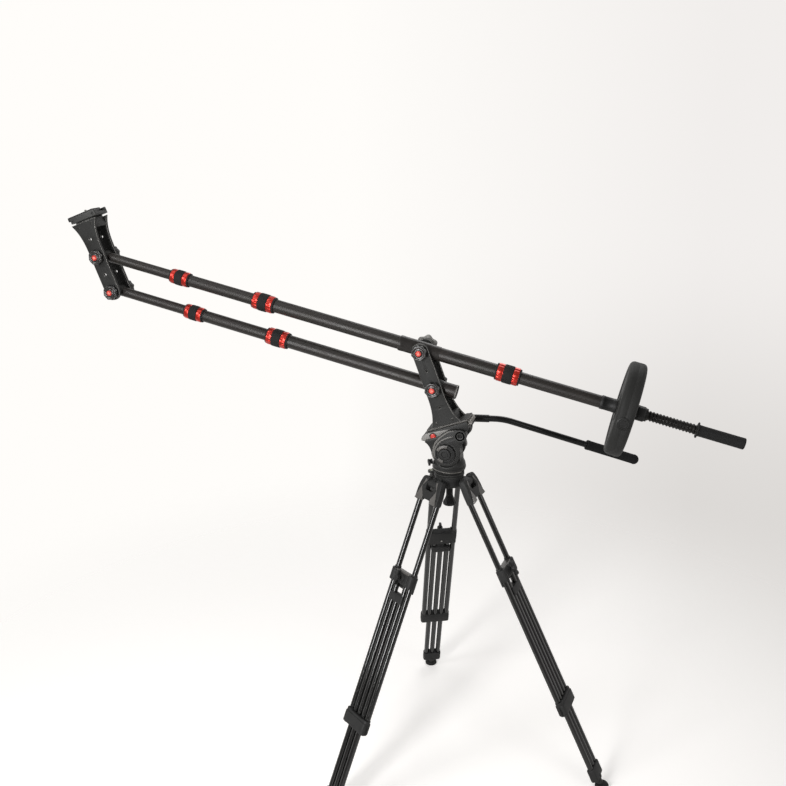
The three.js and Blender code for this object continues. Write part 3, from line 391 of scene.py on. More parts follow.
crown_axis = Vector((pivot["bowl_knob_turn"].x, pivot["bowl_knob_turn"].y, 0))
leg_pivot_height = pivot["rear_leg_spread"].z * 1000
crown_top, crown_low = leg_pivot_height + 17, leg_pivot_height - 11
crown_frame = local(crown_axis)
leg_turns = {"rear": -7.9, "far": 112.1, "near": -127.9}
LEG_PITCH = -24.4
LUG_RADIUS, LUG_REACH, LUG_HALF_WIDTH, LUG_ROOT = 11, 50, 15, 36
bowl_profile = raised(crown_low, [(13, 0), (33, 0), (35.5, 1.5), (37, 6), (38, 8)])
bowl_profile += raised(crown_top, [
    (38, -3), (37.4, -1.2), (36, 0), (35, 0), (34, -0.6), (32.8, -2), (31.6, -8), (27.5, -15.5),
    (22, -20.2), (13, -23.8)])
bowl = turned(bowl_profile, 64, closed=True)
shapes = [(bowl, moved())]
for turn in leg_turns.values():
    spoke = Matrix.Rotation(math.radians(turn), 4, "Z")
    half_turn = [math.pi * i / 14 for i in range(15)]
    lug = vectors((LUG_ROOT, -LUG_RADIUS + leg_pivot_height), (LUG_ROOT, LUG_RADIUS + leg_pivot_height))
    lug[1:1] = [Vector((LUG_REACH + LUG_RADIUS * math.sin(a), leg_pivot_height - LUG_RADIUS * math.cos(a)))
                for a in half_turn]
    shapes.append((slab(lug, -LUG_HALF_WIDTH, LUG_HALF_WIDTH, 1.6), spoke @ ALONG_Y))
    web = vectors((30, -15), (44, -12), (44, 12), (30, 15))
    shapes.append((slab(web, crown_low + 1, crown_low + 5, 1.2), spoke))
piece("crown_casting", "tripod_crown", cast_paint, crown_frame, shapes)

# Bowl clamp knob: a turned handle under the bowl, moulded in glass-filled nylon over a steel nut.
# It screws up the stud of the levelling base.

# Glass-filled nylon: a soft black with a spark-eroded mould texture of about 0.15 mm, drawn at 1 mm.
nylon = skin(
    "Glass-filled nylon, spark-textured mould", ("#111111", "#1a1a1a"), (0.42, 0.58), 1.0, 0.08, 18,
    {"IOR": 1.53, "Specular IOR Level": 0.3}, edge_wear_and_highlight="#3c3c3c")
washer_top = crown_low - 0.3
handle_low = washer_top - 58
knob_profile = raised(handle_low, [
    (0, 0), (13, 0), (16.2, 0.8, 1.0), (17.8, 2.4, 1.6), (18, 6.5, 1.6), (16.8, 9, 1.3), (13.5, 15, 0.8),
    (10.4, 22, 0.3), (9, 28)])
knob_profile += raised(washer_top, [
    (9, -9), (12, -7.5), (19.5, -5), (21, -3.4), (21, -0.8), (20.2, 0), (0, 0)])
piece("bowl_clamp_handle", "bowl_clamp_knob", nylon, crown_frame, [(turned(knob_profile, 72, 12), moved())])

# Legs: each has a forked shoulder casting, two fixed outer tubes and a guide block at their foot.
# A clamp slides on the outer tubes and carries three inner tubes down to the foot casting.

# Drawn aluminium tube, black anodised and buffed: nearly a mirror along its length, with faint
# draw lines 0.5 mm apart, drawn at 1.5 mm.
leg_tube, tree, shader = surface("Buffed black-anodised aluminium tube", {
    "IOR": 1.6, "Specular IOR Level": 0.5})
along = add(tree, "TexCoord").outputs["UV"]
drawn = add(tree, "Mapping", {}, {"Vector": along, "Scale": (660, 4, 1)})
lines = add(tree, "TexNoise", {}, {"Vector": drawn.outputs[0], "Scale": 1, "Detail": 2})
handled = add(tree, "TexNoise", {}, {"Vector": along, "Scale": 22, "Detail": 4})
gloss = add(tree, "MapRange", {}, {
    "Value": handled.outputs[0], "From Min": 0.3, "From Max": 0.7, "To Min": 0.11, "To Max": 0.17})
tone = add(tree, "Mix", {"data_type": "RGBA"}, {
    0: lines.outputs[0], 6: linear("#050505"), 7: linear("#0c0c0b")})
relief = add(tree, "Bump", {}, {"Height": lines.outputs[0], "Strength": 0.1, "Distance": 0.00003})
connect(tree, shader, tone.outputs[2], gloss.outputs[0], relief.outputs[0])
# Moulded rubber: a flat black that greys a little along its edges, partly wear where feet rub it and partly
# painted highlight.
rubber = skin(
    "Moulded nitrile rubber", ("#131313", "#1b1b1b"), (0.72, 0.86), 1.6, 0.1, 26,
    {"IOR": 1.52, "Specular IOR Level": 0.3}, edge_wear_and_highlight="#2e2e2d")

ALONG_X = Matrix(((0, 0, 1, 0), (1, 0, 0, 0), (0, 1, 0, 0), (0, 0, 0, 1)))
TO_NEAR = Matrix.Rotation(math.radians(90), 4, "X")
TO_FAR = Matrix.Rotation(math.radians(-90), 4, "X")
TO_SIDE = {-1: TO_NEAR, 1: TO_FAR}
# Heights along a leg, from its hinge, and the tubes' radius and places across it.
TUBE_RADIUS, OUTER_PLACE, INNER_PLACE = 7.4, 35, 18.6
SOCKET, GUIDE_TOP, GUIDE_LOW = -46, -641, -671
CLAMP_TOP, CLAMP_MIDDLE, CLAMP_LOW = -240.5, -256.5, -272.5
BRACE_TOP, BRACE_LOW = -300, -322
FOOT_TOP, FOOT_LOW, SOLE = -850, -886, -918


def rounded(width, depth, corner, steps=5, x=0, y=0):
    """A rectangle with round corners, centred on (x, y)."""
    points = []
    for turn, sx, sy in ((0, 1, 1), (1, -1, 1), (2, -1, -1), (3, 1, -1)):
        for i in range(steps + 1):
            angle = math.pi / 2 * (turn + i / steps)
            points.append(Vector((
                x + sx * (width / 2 - corner) + corner * math.cos(angle),
                y + sy * (depth / 2 - corner) + corner * math.sin(angle))))
    return points


def detail(*told, slot=None):
    """A piece that rides with its node and leaves it to a larger piece to stand for it."""
    return piece(*told, stands_for=False, slot=slot)


def tube(radius, low, high, steps=32, ease=0.5):
    """A plain round tube or rod along Z with its ends eased."""
    return turned([
        (0, low), (radius - ease, low), (radius, low + ease), (radius, high - ease),
        (radius - ease, high), (0, high)], steps)


def swelling(low, high, bulge, round_by):
    """A round collar for a tube that stands along Z."""
    return turned([
        (TUBE_RADIUS, low), (TUBE_RADIUS + bulge - round_by / 3, low),
        (TUBE_RADIUS + bulge, low + round_by / 2), (TUBE_RADIUS + bulge, high - round_by / 2),
        (TUBE_RADIUS + bulge - round_by / 3, high), (TUBE_RADIUS, high)], 32, closed=True)


def held(share):
    """A share kept between nothing and the whole."""
    return min(max(share, 0), 1)


def screw_head(radius, height, socket):
    """A button head with a sunk socket, standing up along Z from 0."""
    return turned([
        (0, 0), (radius, 0), (radius, height * 0.35), (radius * 0.86, height * 0.75),
        (radius * 0.62, height), (socket, height), (socket, height * 0.35), (0, height * 0.35)], 24)


# The same coat in a lighter grey with more shine, painted as highlight where light falls on ribs, clamp
# tops, a drum rim and dial grips.
painted_highlight_coat = skin(
    "Powder coat painted lighter as highlight", ("#474543", "#55524f"), (0.32, 0.42), 1.2, 0.03, 34,
    {"IOR": 1.5, "Specular IOR Level": 0.5}, edge_wear_and_highlight="#5e5c5a")

for leg, turn in leg_turns.items():
    leg_frame = local(pivot[f"{leg}_leg_spread"], LEG_PITCH, turn)
    upper, lower = f"leg_{leg}_upper", f"leg_{leg}_lower"

    # Shoulder: two tines beside the crown's lug, joined below it, thinner towards the hinge.
    fork = vectors(
        (15.3, 8), (16.2, 13.5), (20, 16), (32, 15.6), (36.6, 13.2), (39, 8), (41.6, -6), (44, -24),
        (44, -46), (42.6, -49.4), (39, -50.6), (29, -50.6), (26, -48.6), (23, -45), (18, -43), (0, -42.5))
    fork += [Vector((-p.x, p.y)) for p in reversed(fork[:-1])]
    fork += vectors((-15.3, -14), (-13.6, -17), (-11, -18), (11, -18), (13.6, -17), (15.3, -14))
    shoulder = slab(fork, -6, 13.5, 2.4)
    for vert in shoulder.verts:
        if vert.co.z > 4:
            thinning = held((vert.co.y + 14) / 30)
            vert.co.z -= 4.5 * thinning * thinning * (vert.co.z - 4) / 9.5
    shapes, ribs = [(shoulder, ALONG_X)], []
    for side in (-1, 1):
        # A tapered rib on the outer face, from the hinge down to each tube's socket.
        rib = blank()
        corners = [rib.verts.new((x, side * y, z)) for x, y, z in (
            (6, 17.5, 9), (6, 24.5, 9), (9.6, 14, -49.4), (10, 42.6, -49.4), (14, 14.4, -49),
            (16.6, 41.6, -49), (11.2, 18, 8.4), (12, 24, 8.4))]
        for face in ((6, 7, 5, 4), (0, 1, 7, 6), (2, 4, 5, 3), (0, 6, 4, 2), (1, 3, 5, 7), (0, 2, 3, 1)):
            rib.faces.new([corners[i] for i in face])
        bmesh.ops.bevel(rib, geom=rib.edges[:], offset=0.7, segments=2, affect="EDGES")
        ribs.append((rib, moved()))
        shapes.append((screw_head(7.4, 2.6, 3), moved(y=side * 36.4) @ TO_SIDE[side]))
    shapes.append((tube(4, -15.8, 15.8, 20), ALONG_Y))
    shapes.append((slab(rounded(25, 88, 6.5, x=2.5), GUIDE_LOW, GUIDE_TOP, 2.2), moved()))
    shapes.append((slab(rounded(21.6, 80, 7, x=2.2), GUIDE_TOP - 3, GUIDE_TOP + 6, 1.8), moved()))
    for side in (-1, 1):
        post = rounded(21, 20, 8, x=2.2, y=side * 34)
        shapes.append((slab(post, GUIDE_LOW - 2, GUIDE_TOP + 8, 1.8), moved()))
    piece(f"{upper}_castings", upper, cast_paint, leg_frame, shapes)
    # The ribs take the lighter coat as a painted highlight, where light catches their faces.
    detail(f"{upper}_ribs", upper, painted_highlight_coat, leg_frame, ribs)
    detail(f"{upper}_tubes", upper, leg_tube, leg_frame, [
        (tube(TUBE_RADIUS, GUIDE_TOP + 1, SOCKET), moved(y=side * OUTER_PLACE)) for side in (-1, 1)])

    # Mid clamp: a block with a post round each outer tube and a boss for the wing knob.
    shapes = [(slab(rounded(19, 66, 4, x=2), CLAMP_LOW, CLAMP_TOP, 2.4), moved())]
    for side in (-1, 1):
        post = rounded(25, 20, 8.6, x=2.5, y=side * 34)
        shapes.append((slab(post, CLAMP_LOW - 1, CLAMP_TOP + 1, 2.4), moved()))
        collar = swelling(CLAMP_TOP + 0.5, CLAMP_TOP + 4.9, 1.4, 1.8)
        shapes.append((collar, moved(y=side * OUTER_PLACE)))
    boss = turned([(0, 4), (13.5, 4), (13.5, 12.5), (12.2, 14.6), (10.5, 15), (0, 15)], 36)
    shapes.append((boss, moved(z=CLAMP_MIDDLE) @ ALONG_X))
    for side in (-1, 1):
        rib = rounded(4, 14, 1.8, 3, y=side * 20)
        shapes.append((slab(rib, CLAMP_LOW + 3.5, CLAMP_TOP - 3.5, 1.4), moved(x=11.4)))
    # An apron hangs behind the clamp, and a brace joins the inner tubes below it.
    apron = rounded(5.6, 84, 2, x=-7.4)
    shapes.append((slab(apron, CLAMP_LOW - 13.5, CLAMP_TOP - 1, 1.6), moved()))
    shapes.append((slab(rounded(21, 53.4, 4, x=-1), BRACE_LOW, BRACE_TOP, 2.6), moved()))
    # Foot: a block round the tubes' ends with a swivel below.
    shapes.append((slab(rounded(22, 56, 7), FOOT_LOW, FOOT_TOP, 3), moved()))
    swivel = raised(FOOT_LOW, [(0, -4), (11, -4), (12.5, -1), (12.5, 6), (9, 12), (0, 12)])
    shapes.append((turned(swivel, 32), moved()))
    stem = raised(FOOT_LOW, [(0, -23), (8, -23), (8.6, -19), (8.6, 0), (0, 0)])
    shapes.append((turned(stem, 28), moved()))
    piece(f"{lower}_castings", lower, cast_paint, leg_frame, shapes)
    # On the rear and the near leg the clamp's top face is painted lighter, for the light that falls on it
    # from above.
    if leg != "far":
        top = slab(rounded(19.6, 54, 3, x=2), CLAMP_TOP - 3.5, CLAMP_TOP + 1.1, 1)
        detail(f"{lower}_clamp_top", lower, painted_highlight_coat, leg_frame, [(top, moved())])
    detail(f"{lower}_tubes", lower, leg_tube, leg_frame, [
        (tube(TUBE_RADIUS, FOOT_TOP - 2, -270 if side else BRACE_TOP - 4), moved(y=side * INNER_PLACE))
        for side in (-1, 0, 1)])
    sole = turned([
        (0, 0), (17.4, 0), (18.3, 0.8), (18.7, 3), (18.4, 7), (16.6, 10.4), (13, 12), (9, 13.4),
        (0, 13.4)], 48)
    foot_tilt = Matrix.Rotation(math.radians(-LEG_PITCH), 4, "Y")
    detail(f"{lower}_pad", lower, rubber, leg_frame, [(sole, moved(z=SOLE) @ foot_tilt)], slot="rubber")
    rivet = turned([(0, 0), (2.6, 0), (2.4, 0.7), (1.4, 1.3), (0, 1.5)], 20)
    outwards = Matrix.Rotation(math.radians(-90), 4, "Y")
    detail(f"{lower}_rivet", lower, zinc_plate, leg_frame, [
        (rivet, moved(x=-10.1, z=CLAMP_LOW - 0.5) @ outwards)], slot="bare_steel")

    # Wing knob: a moulded butterfly on a round hub, with its stem in the clamp.
    wing_frame = local(pivot[f"{leg}_wing_turn"], LEG_PITCH, turn)
    wings = vectors(
        (0, 20.2), (4.2, 19.6), (8.2, 20), (11.2, 18.2), (12, 14.5), (11, 9.5), (9.4, 5), (9, 0))
    wings += [Vector((p.x, -p.y)) for p in reversed(wings[:-1])]
    wings += vectors((-0.6, -12), (-0.8, 0), (-0.6, 12))
    wings = [Vector((p.x + 19.3, p.y)) for p in wings]
    shapes = [
        (turned([(0, 14.9), (4, 15.3), (4, 19.4), (7, 19.4), (8, 20.6), (8, 28.6), (6.6, 30.4),
                 (3, 31), (0, 31)], 32), ALONG_X),
        (slab(wings, -3.5, 3.5, 1.9), ALONG_Y)]
    piece(f"wing_knob_{leg}", f"leg_{leg}_wing_knob", nylon, wing_frame, shapes)

# Levelling base: a half ball with a flat ring on top and a steel stud below, turned in aluminium.
# A round spirit level sits on the ring's edge, and the pan body turns on its flat top.

# Head castings: the same powder coat in a finer grain, with a faint sheen from handling.
head_paint = skin(
    "Fine powder-coated aluminium casting", ("#191919", "#252524"), (0.42, 0.54), 0.9, 0.05, 30,
    {"IOR": 1.5, "Specular IOR Level": 0.3}, edge_wear_and_highlight="#5a5a58")
head_axis = Vector((pivot["head_tilt"].x, pivot["head_tilt"].y, 0))
upright = local(head_axis)
base_top = pivot["head_pan"].z * 1000
level_turn = math.radians(188)
BALL_RADIUS, LEVEL_REACH = 32.5, 48
ball = [(BALL_RADIUS * math.cos(a), base_top - 10 - BALL_RADIUS * math.sin(a)) for a in
        [math.radians(4 + 38 * i / 8) for i in range(9)]]
base_profile = raised(base_top, [
    (0, 0), (36.6, 0), (38.6, -0.5), (39.6, -1.6), (39.6, -3.8), (38.6, -4.6), (38.6, -5.4),
    (39.6, -6.2), (39.6, -8.6), (38.6, -10), (36, -10)])
base_profile += ball + raised(base_top, [(24, -32), (0, -32)])
base = turned(base_profile[::-1], 72)
stud = tube(4.9, base_top - 79, base_top - 30, 24)
housing = turned(raised(base_top, [
    (0, -7), (7.4, -7), (8, -6.4), (8, -0.9), (7.3, -0.2), (6.2, -0.2), (5.8, -1.6), (0, -1.6)]), 32)
level_place = moved(LEVEL_REACH * math.cos(level_turn), LEVEL_REACH * math.sin(level_turn))
neck = slab(rounded(14, 12, 3, x=40), base_top - 7, base_top - 0.8, 1)
piece("levelling_half_ball", "head_level_base", head_paint, upright, [
    (base, moved()), (stud, moved()), (housing, level_place), (neck, Matrix.Rotation(level_turn, 4, "Z"))])

# Spirit level: a clear acrylic lens over a yellow-green fluid with its bubble, in a round housing
# that is cast on the base's edge.
vial, tree, shader = surface("Acrylic lens over level fluid", {
    "IOR": 1.49, "Roughness": 0.06, "Coat Weight": 0.6})
where = add(tree, "TexCoord").outputs["Object"]
lens_middle = head_axis + Vector((math.cos(level_turn), math.sin(level_turn), 0)) * LEVEL_REACH / 1000
off = add(tree, "VectorMath", {"operation": "SUBTRACT"}, {
    0: where, 1: (*lens_middle.xy, base_top / 1000 - 0.0012)})
reach = add(tree, "VectorMath", {"operation": "LENGTH"}, {0: off.outputs[0]})
mark = add(tree, "MapRange", {"interpolation_type": "SMOOTHSTEP"}, {
    "Value": reach.outputs["Value"], "From Min": 0.0019, "From Max": 0.0024})
tint = add(tree, "Mix", {"data_type": "RGBA"}, {
    0: mark.outputs[0], 6: linear("#a9ae72"), 7: linear("#3c4416")})
tree.links.new(tint.outputs[2], shader.inputs["Base Color"])
lens = turned(raised(base_top, [
    (0, -1.7), (5.7, -1.7), (5.5, -0.9), (4, -0.45), (2, -0.25), (0, -0.2)]), 32)
detail("level_lens", "head_level_base", vial, upright, [(lens, level_place)], slot="grey_plastic")

# Pan body: a round base with stepped rings and an upright hub between the tilt cheeks, cast in
# aluminium and painted. The fluid drag discs are sealed inside.

# Light grey metal for a painted highlight: a line that shines softly along the ring's curve.
ring_highlight_metal = skin(
    "Light grey metal painted as ring highlight", ("#777572", "#8b8985"), (0.34, 0.46), 0.6, 0.01, 9, {"Metallic": 0.8})
pan_low = base_top + 0.3
tilt_height = pivot["head_tilt"].z * 1000
HUB_RADIUS, HOLLOW_RADIUS, PAN_DEPTH = 33, 38.7, 38
pan = turned(raised(pan_low, [
    (0, 0), (37.6, 0), (38.4, 0.6), (38.6, 2.6), (40.8, 3.8), (42.6, 7), (43.8, 11), (44, 14.4),
    (42.3, 16.4), (42.4, 18), (43, 20), (42.2, 24), (40.4, 28.4), (38.4, 32), (36.4, 35.4),
    *[(radius, PAN_DEPTH) for radius in (34.8, 33, 30, 27, 24, 22, 20, 0)]]), 144)
# The cheeks swing in two round hollows, cut in the wall on either side of the hub.
for vert in pan.verts:
    depth = HOLLOW_RADIUS ** 2 - vert.co.x ** 2
    if abs(vert.co.y) > 20 and depth > 0:
        vert.co.z = min(vert.co.z, tilt_height - math.sqrt(depth))
hub = [Vector((HUB_RADIUS * math.cos(a), tilt_height + HUB_RADIUS * math.sin(a))) for a in
       [math.pi * i / 36 for i in range(37)]]
hub += vectors((-34.6, pan_low + 30), (-34.6, pan_low + 14), (34.6, pan_low + 14), (34.6, pan_low + 30))
hub_body = slab(hub, -21, 21, 1.2)
ribs = []
for height in (-12, 0, 12):
    low, high = height + tilt_height - 1.4, height + tilt_height + 1.4
    band = vectors((30, low), (34.2, low), (34.2, high), (30, high))
    ribs.append((slab(band, -17, 17, 0.8), ALONG_Y))
piece("pan_base_and_hub", "head_pan_body", head_paint, upright, [
    (pan, moved()), (hub_body, ALONG_Y), *ribs])
# Painted highlight on the base ring: a light line on the bevel that starts at the front left and runs down
# to the right, left off round the back.
painted_highlight_line = turned(raised(pan_low, [
    (42.4, 16.6), (44.3, 14.4), (44.2, 12.8), (42.4, 12.6), (41, 16)]), 144, closed=True)
LINE_START, LINE_END = -166, -30
far_round = []
for face in painted_highlight_line.faces:
    centre = face.calc_center_median()
    if not LINE_START < math.degrees(math.atan2(centre.y, centre.x)) < LINE_END:
        far_round.append(face)
bmesh.ops.delete(painted_highlight_line, geom=far_round, context="FACES")
for vert in painted_highlight_line.verts:
    turn = math.degrees(math.atan2(vert.co.y, vert.co.x))
    run = held((turn - LINE_START) / (LINE_END - LINE_START))
    inwards = 1 - 0.031 * run ** 2
    vert.co = Vector((vert.co.x * inwards, vert.co.y * inwards, vert.co.z - 7.5 * run))
detail("pan_ring_bevel", "head_pan_body", ring_highlight_metal, upright, [(painted_highlight_line, moved())],
      slot="bare_steel")

# Pan lock: a small cranked lever on a hub at the front of the pan body, moulded in nylon.
# It swings on its hub to lock the pan.
lever_frame = local(pivot["pan_lock"], 0, 205)
crank = vectors(
    (50.6, -3.4), (55.4, -3.6), (56, 0), (56.4, 7), (58, 15), (59.4, 21), (58.6, 23.6), (55.4, 24),
    (53.4, 21.6), (51.4, 13), (50, 5), (49.8, 0))
piece("pan_lock_crank", "pan_lock_lever", nylon, lever_frame, [
    (turned([(0, 44.3), (7, 44.3), (7, 47), (6.2, 48), (6.2, 52), (7, 53), (7, 55), (5.8, 56.3),
             (0, 56.3)], 32), ALONG_X),
    (slab(crank, -3, 3, 1.6), moved())])

# Tilt cradle: one casting with two round cheeks either side of the hub, the channel that takes
# the slide plate, and a ringed boss on each side for the pan handle.
HEAD_PITCH = -18.8
head = local(pivot["head_tilt"], HEAD_PITCH)
CRADLE_TOP, CHANNEL_FLOOR, CRADLE_LOW = 63.1, 53.1, 40.1


def on_circle(radius, number, steps):
    """One of the evenly spaced places on a circle."""
    angle = math.tau * number / steps
    return radius * math.cos(angle), radius * math.sin(angle)


def ring_outline(radius, steps=24, x=0, y=0):
    """A whole circle of points, centred on (x, y)."""
    places = [on_circle(radius, i, steps) for i in range(steps)]
    return [Vector((x + across, y + along)) for across, along in places]


def arc(radius, start, end, steps=16, x=0, y=0):
    """Points on a circle from one angle to another, in degrees."""
    turns = [math.radians(start + (end - start) * i / steps) for i in range(steps + 1)]
    return [Vector((x + radius * math.cos(a), y + radius * math.sin(a))) for a in turns]


def on_both_sides(outline, inner, outer, edge, holes=()):
    """The same slab on the near and the far side, between two distances from the middle plane."""
    return [(slab(outline, *sorted((side * inner, side * outer)), edge, holes), ALONG_Y)
            for side in (-1, 1)]


CHEEK_INNER, CHEEK_OUTER, DRUM_RADIUS = 22, 38.4, 38
ROSETTE_X, ROSETTE_Z, BORE_RADIUS = 52, 34, 4.2
cheek = vectors((-36.2, 12), (-36, 18), (-36.8, 27), (-38.6, 33), (-41.2, 38), (-44, 41.6), (-40, 46))
cheek = arc(DRUM_RADIUS, 162, 394, 44) + vectors((42, 26), (54, 38.5), (54, 46)) + cheek[::-1]
shapes = []
for side in (-1, 1):
    inner, outer = sorted((side * CHEEK_INNER, side * CHEEK_OUTER))
    shapes.append((slab(cheek, inner, outer, 1.6), ALONG_Y))
    disc = turned([(0, 38), (31, 38), (31, 42.2), (30.2, 43), (0, 43)], 72)
    shapes.append((disc, TO_SIDE[side]))
# Each cheek's outer face runs from round the drum up to the rosette in one drop-shaped boss.
drop = arc(36.4, 172, 336, 42) + vectors((36.4, -8), (41, 2), (47, 9.6), (55, 15), (62, 19.4))
drop += arc(16.6, -42, 84, 15, ROSETTE_X, ROSETTE_Z)
drop += vectors(
    (44, 53.6), (29.6, 55.4), (20, 53.4), (11, 50.4), (2, 47), (-5.6, 43.2), (-13.6, 38.4),
    (-20.6, 32), (-26, 24.6), (-30.6, 16.6))
shapes += on_both_sides(drop, 31, 42.2, 1.5, [ring_outline(BORE_RADIUS, 24, ROSETTE_X, ROSETTE_Z)])
nose = vectors(
    (-36, 62.4), (-42, 59.4), (-48.6, 55.2), (-52, 50.6), (-52.8, 47.6), (-51.4, 45), (-46, 42.4),
    (-42, 40.1))
rail = nose[::-1]
rail += vectors(
    (-33, CRADLE_TOP), (78, CRADLE_TOP), (78, CRADLE_LOW + 6.5), (76, CRADLE_LOW + 3), (71.5, CRADLE_LOW))
shapes += on_both_sides(rail, 25.3, 31, 1.2)
floor_low = [Vector((x, min(z, CHANNEL_FLOOR))) for x, z in reversed(nose[3:])]
floor_low += vectors(
    (-50.6, CHANNEL_FLOOR), (77.5, CHANNEL_FLOOR), (77.5, CRADLE_LOW + 6.5), (71.5, CRADLE_LOW + 0.3))
shapes.append((slab(floor_low, -28, 28, 0.8), ALONG_Y))
nose_wall = vectors(
    (-50.4, CHANNEL_FLOOR - 4), (-50.4, 52.6), (-48, 55), (-42, 59), (-36, 62), (-32.6, 62.8),
    (-32.6, CHANNEL_FLOOR - 4))
shapes.append((slab(nose_wall, -28, 28, 0.8), ALONG_Y))
arm_web = vectors((40, 20), (47, 22.5), (62, 33), (63.5, 39), (60, 44), (38, 44))
shapes += on_both_sides(arm_web, 24, 39.5, 2)
at_rosette = moved(ROSETTE_X, 0, ROSETTE_Z)
boss = [
    (BORE_RADIUS, 20), (15.6, 20), (15.6, 42.6), (15, 43.2), (12.6, 43.2), (11.8, 42.2), (9.4, 42.2),
    (8.6, 43.2), (6.4, 43.2), (5, 42.2), (BORE_RADIUS, 40)]
for side in (-1, 1):
    shapes.append((turned(boss, 48, closed=True), at_rosette @ TO_SIDE[side]))
# The far cheek's drum has a wider rim behind, where the drag discs are sealed in.
rim = slab(arc(41.4, -20, 62, 18) + arc(35, 62, -20, 12), 22.6, 40, 2.4)
# The rim is painted lighter, standing in for the light that falls on it.
detail("far_drum_rim", "head_tilt_cradle", painted_highlight_coat, head, [(rim, ALONG_Y)])
# A black disc at the floor of the rosette's bore, as painted shade in the hole.
bore_shade_disc = turned([(0, 39), (4.1, 39), (4.1, 39.8), (0, 39.8)], 28)
detail("rosette_bore", "head_tilt_cradle", rubber, head, [
    (bore_shade_disc, at_rosette @ TO_NEAR)], slot="rubber")
piece("tilt_cradle_casting", "head_tilt_cradle", head_paint, head, shapes)

# Nose cover and ridges: lighter grey paint on the near side, on a cover let into the nose and along
# two raised ridges that sweep from the drum up to the rosette. The cover's button frees the plate.

# Painted grey ABS: a smoother, lighter skin than the castings behind it.
grey_cover = skin(
    "Satin-painted grey ABS cover", ("#7a7875", "#878582"), (0.4, 0.5), 0.8, 0.03, 24,
    {"IOR": 1.5, "Specular IOR Level": 0.35}, edge_wear_and_highlight="#8f8d8a")
cover = vectors(
    (-35.6, 61.2), (-42, 58.2), (-48, 54.4), (-51.2, 50.2), (-52, 47.6), (-50.6, 45.6), (-45, 43.8),
    (-37, 42.8), (-28, 42.2), (-20, 40), (-13, 39.8), (-5, 44.2), (2, 47.8), (12, 51.6), (22, 54.8),
    (29, 56.6), (20, 57.4), (-3, 59.4))
cover_shape = slab(cover, -33, -30.4, 0.7)
detail("nose_cover", "head_tilt_cradle", grey_cover, head, [(cover_shape, ALONG_Y)], slot="grey_plastic")


def ribbon(line, half):
    """A strip along a line of points, pointed at both ends."""
    left, right = [], []
    for i, p in enumerate(line):
        way = (line[min(i + 1, len(line) - 1)] - line[max(i - 1, 0)]).normalized()
        swell = half * min(1, 0.4 + 0.6 * min(i, len(line) - 1 - i) / 2)
        left.append(p + Vector((-way.y, way.x)) * swell)
        right.append(p - Vector((-way.y, way.x)) * swell)
    return left + right[::-1]


# Along the head's ridges the paint is a lighter, smoother grey.
ridge_paint = skin(
    "Lighter satin paint on cast ridges", ("#605e5b", "#6d6b68"), (0.36, 0.46), 0.9, 0.03, 24,
    {"IOR": 1.5, "Specular IOR Level": 0.4}, edge_wear_and_highlight="#6e6c69")
outer_ridge = [p * (1 - 2.4 / p.length) for p in arc(36.4, 196, 172, 4) + drop[:-11:-1]]
inner_ridge = arc(29, 190, 128, 8) + vectors(
    (-6.8, 32.2), (1, 35.4), (9.4, 37.6), (19, 38.6), (29, 38.4), (35, 37.6))
detail("cheek_ridges", "head_tilt_cradle", ridge_paint, head, [
    (slab(ribbon(outer_ridge, 2.1), -43.2, -40, 0.9), ALONG_Y),
    (slab(ribbon(inner_ridge, 1.9), -43.4, -40, 0.9), ALONG_Y)])

# Release button: a domed push button in red ABS, in a black collar on the near side of the
# nose.

# Injection-moulded ABS, dyed red: a soft gloss with a faint moulding haze.
red_plastic = skin(
    "Moulded red ABS", ("#b81f15", "#c93424"), (0.3, 0.4), 1.0, 0.02, 6,
    {"IOR": 1.54, "Specular IOR Level": 0.55})
button_frame = head @ moved(-18.6, 0, (CRADLE_LOW + CRADLE_TOP) / 2 - 1.9)
piece("release_button_cap", "plate_release_button", red_plastic, button_frame, [
    (turned([(0, 29), (6.8, 29), (7, 31), (7, 33), (6.4, 34.2), (4.8, 34.9), (3.4, 34.6), (0, 34.4)], 36),
     TO_NEAR)])

# The button sits in a black moulded collar.
detail("release_button_collar", "head_tilt_cradle", nylon, button_frame, [
    (turned([(7.3, 29), (9.6, 29), (9.6, 33), (9.2, 33.6), (7.7, 33.6), (7.3, 33.2)], 36, closed=True),
     TO_NEAR)], slot="black_plastic")

# Tilt drag dial: a knurled nylon wheel on the near end of the drum, with stepped rings inside.
# It sets how stiffly the cradle tilts.
KNURLS = 14
dial = turned([
    (0, 43.3), (25, 43.3), (26.4, 43.9, 1), (27, 44.8, 1), (27, 48.2, 1), (26, 49.8, 0.6), (24.4, 50.4),
    (22.6, 50.4), (21.6, 49.6), (20.8, 48.6), (16.6, 48.6), (15.6, 49.4), (15, 50.4), (15, 52.2),
    (14.2, 53.1), (12.8, 53.3), (9, 53.3), (8, 52.5), (7.4, 51.7), (0, 51.7)], 112, KNURLS)
piece("tilt_drag_wheel", "tilt_drag_dial", nylon, head, [(dial, TO_NEAR)])
# Finger grips: two raised crescents on the dial's face, painted paler than the rest as highlight.
grips = []
for start, sweep in ((52, 84), (196, 42)):
    crescent = arc(24.6, start, start + sweep, 14) + arc(16.4, start + sweep, start, 14)
    grips.append((slab(crescent, -51.6, -48, 1.1), ALONG_Y))
detail("dial_finger_grips", "tilt_drag_dial", painted_highlight_coat, head, grips)

# Pan handle: a bent steel bar in gloss black with a rosette arm, a rubber grip and a clamp knob.
# The arm's toothed end sits against the cradle's far boss.

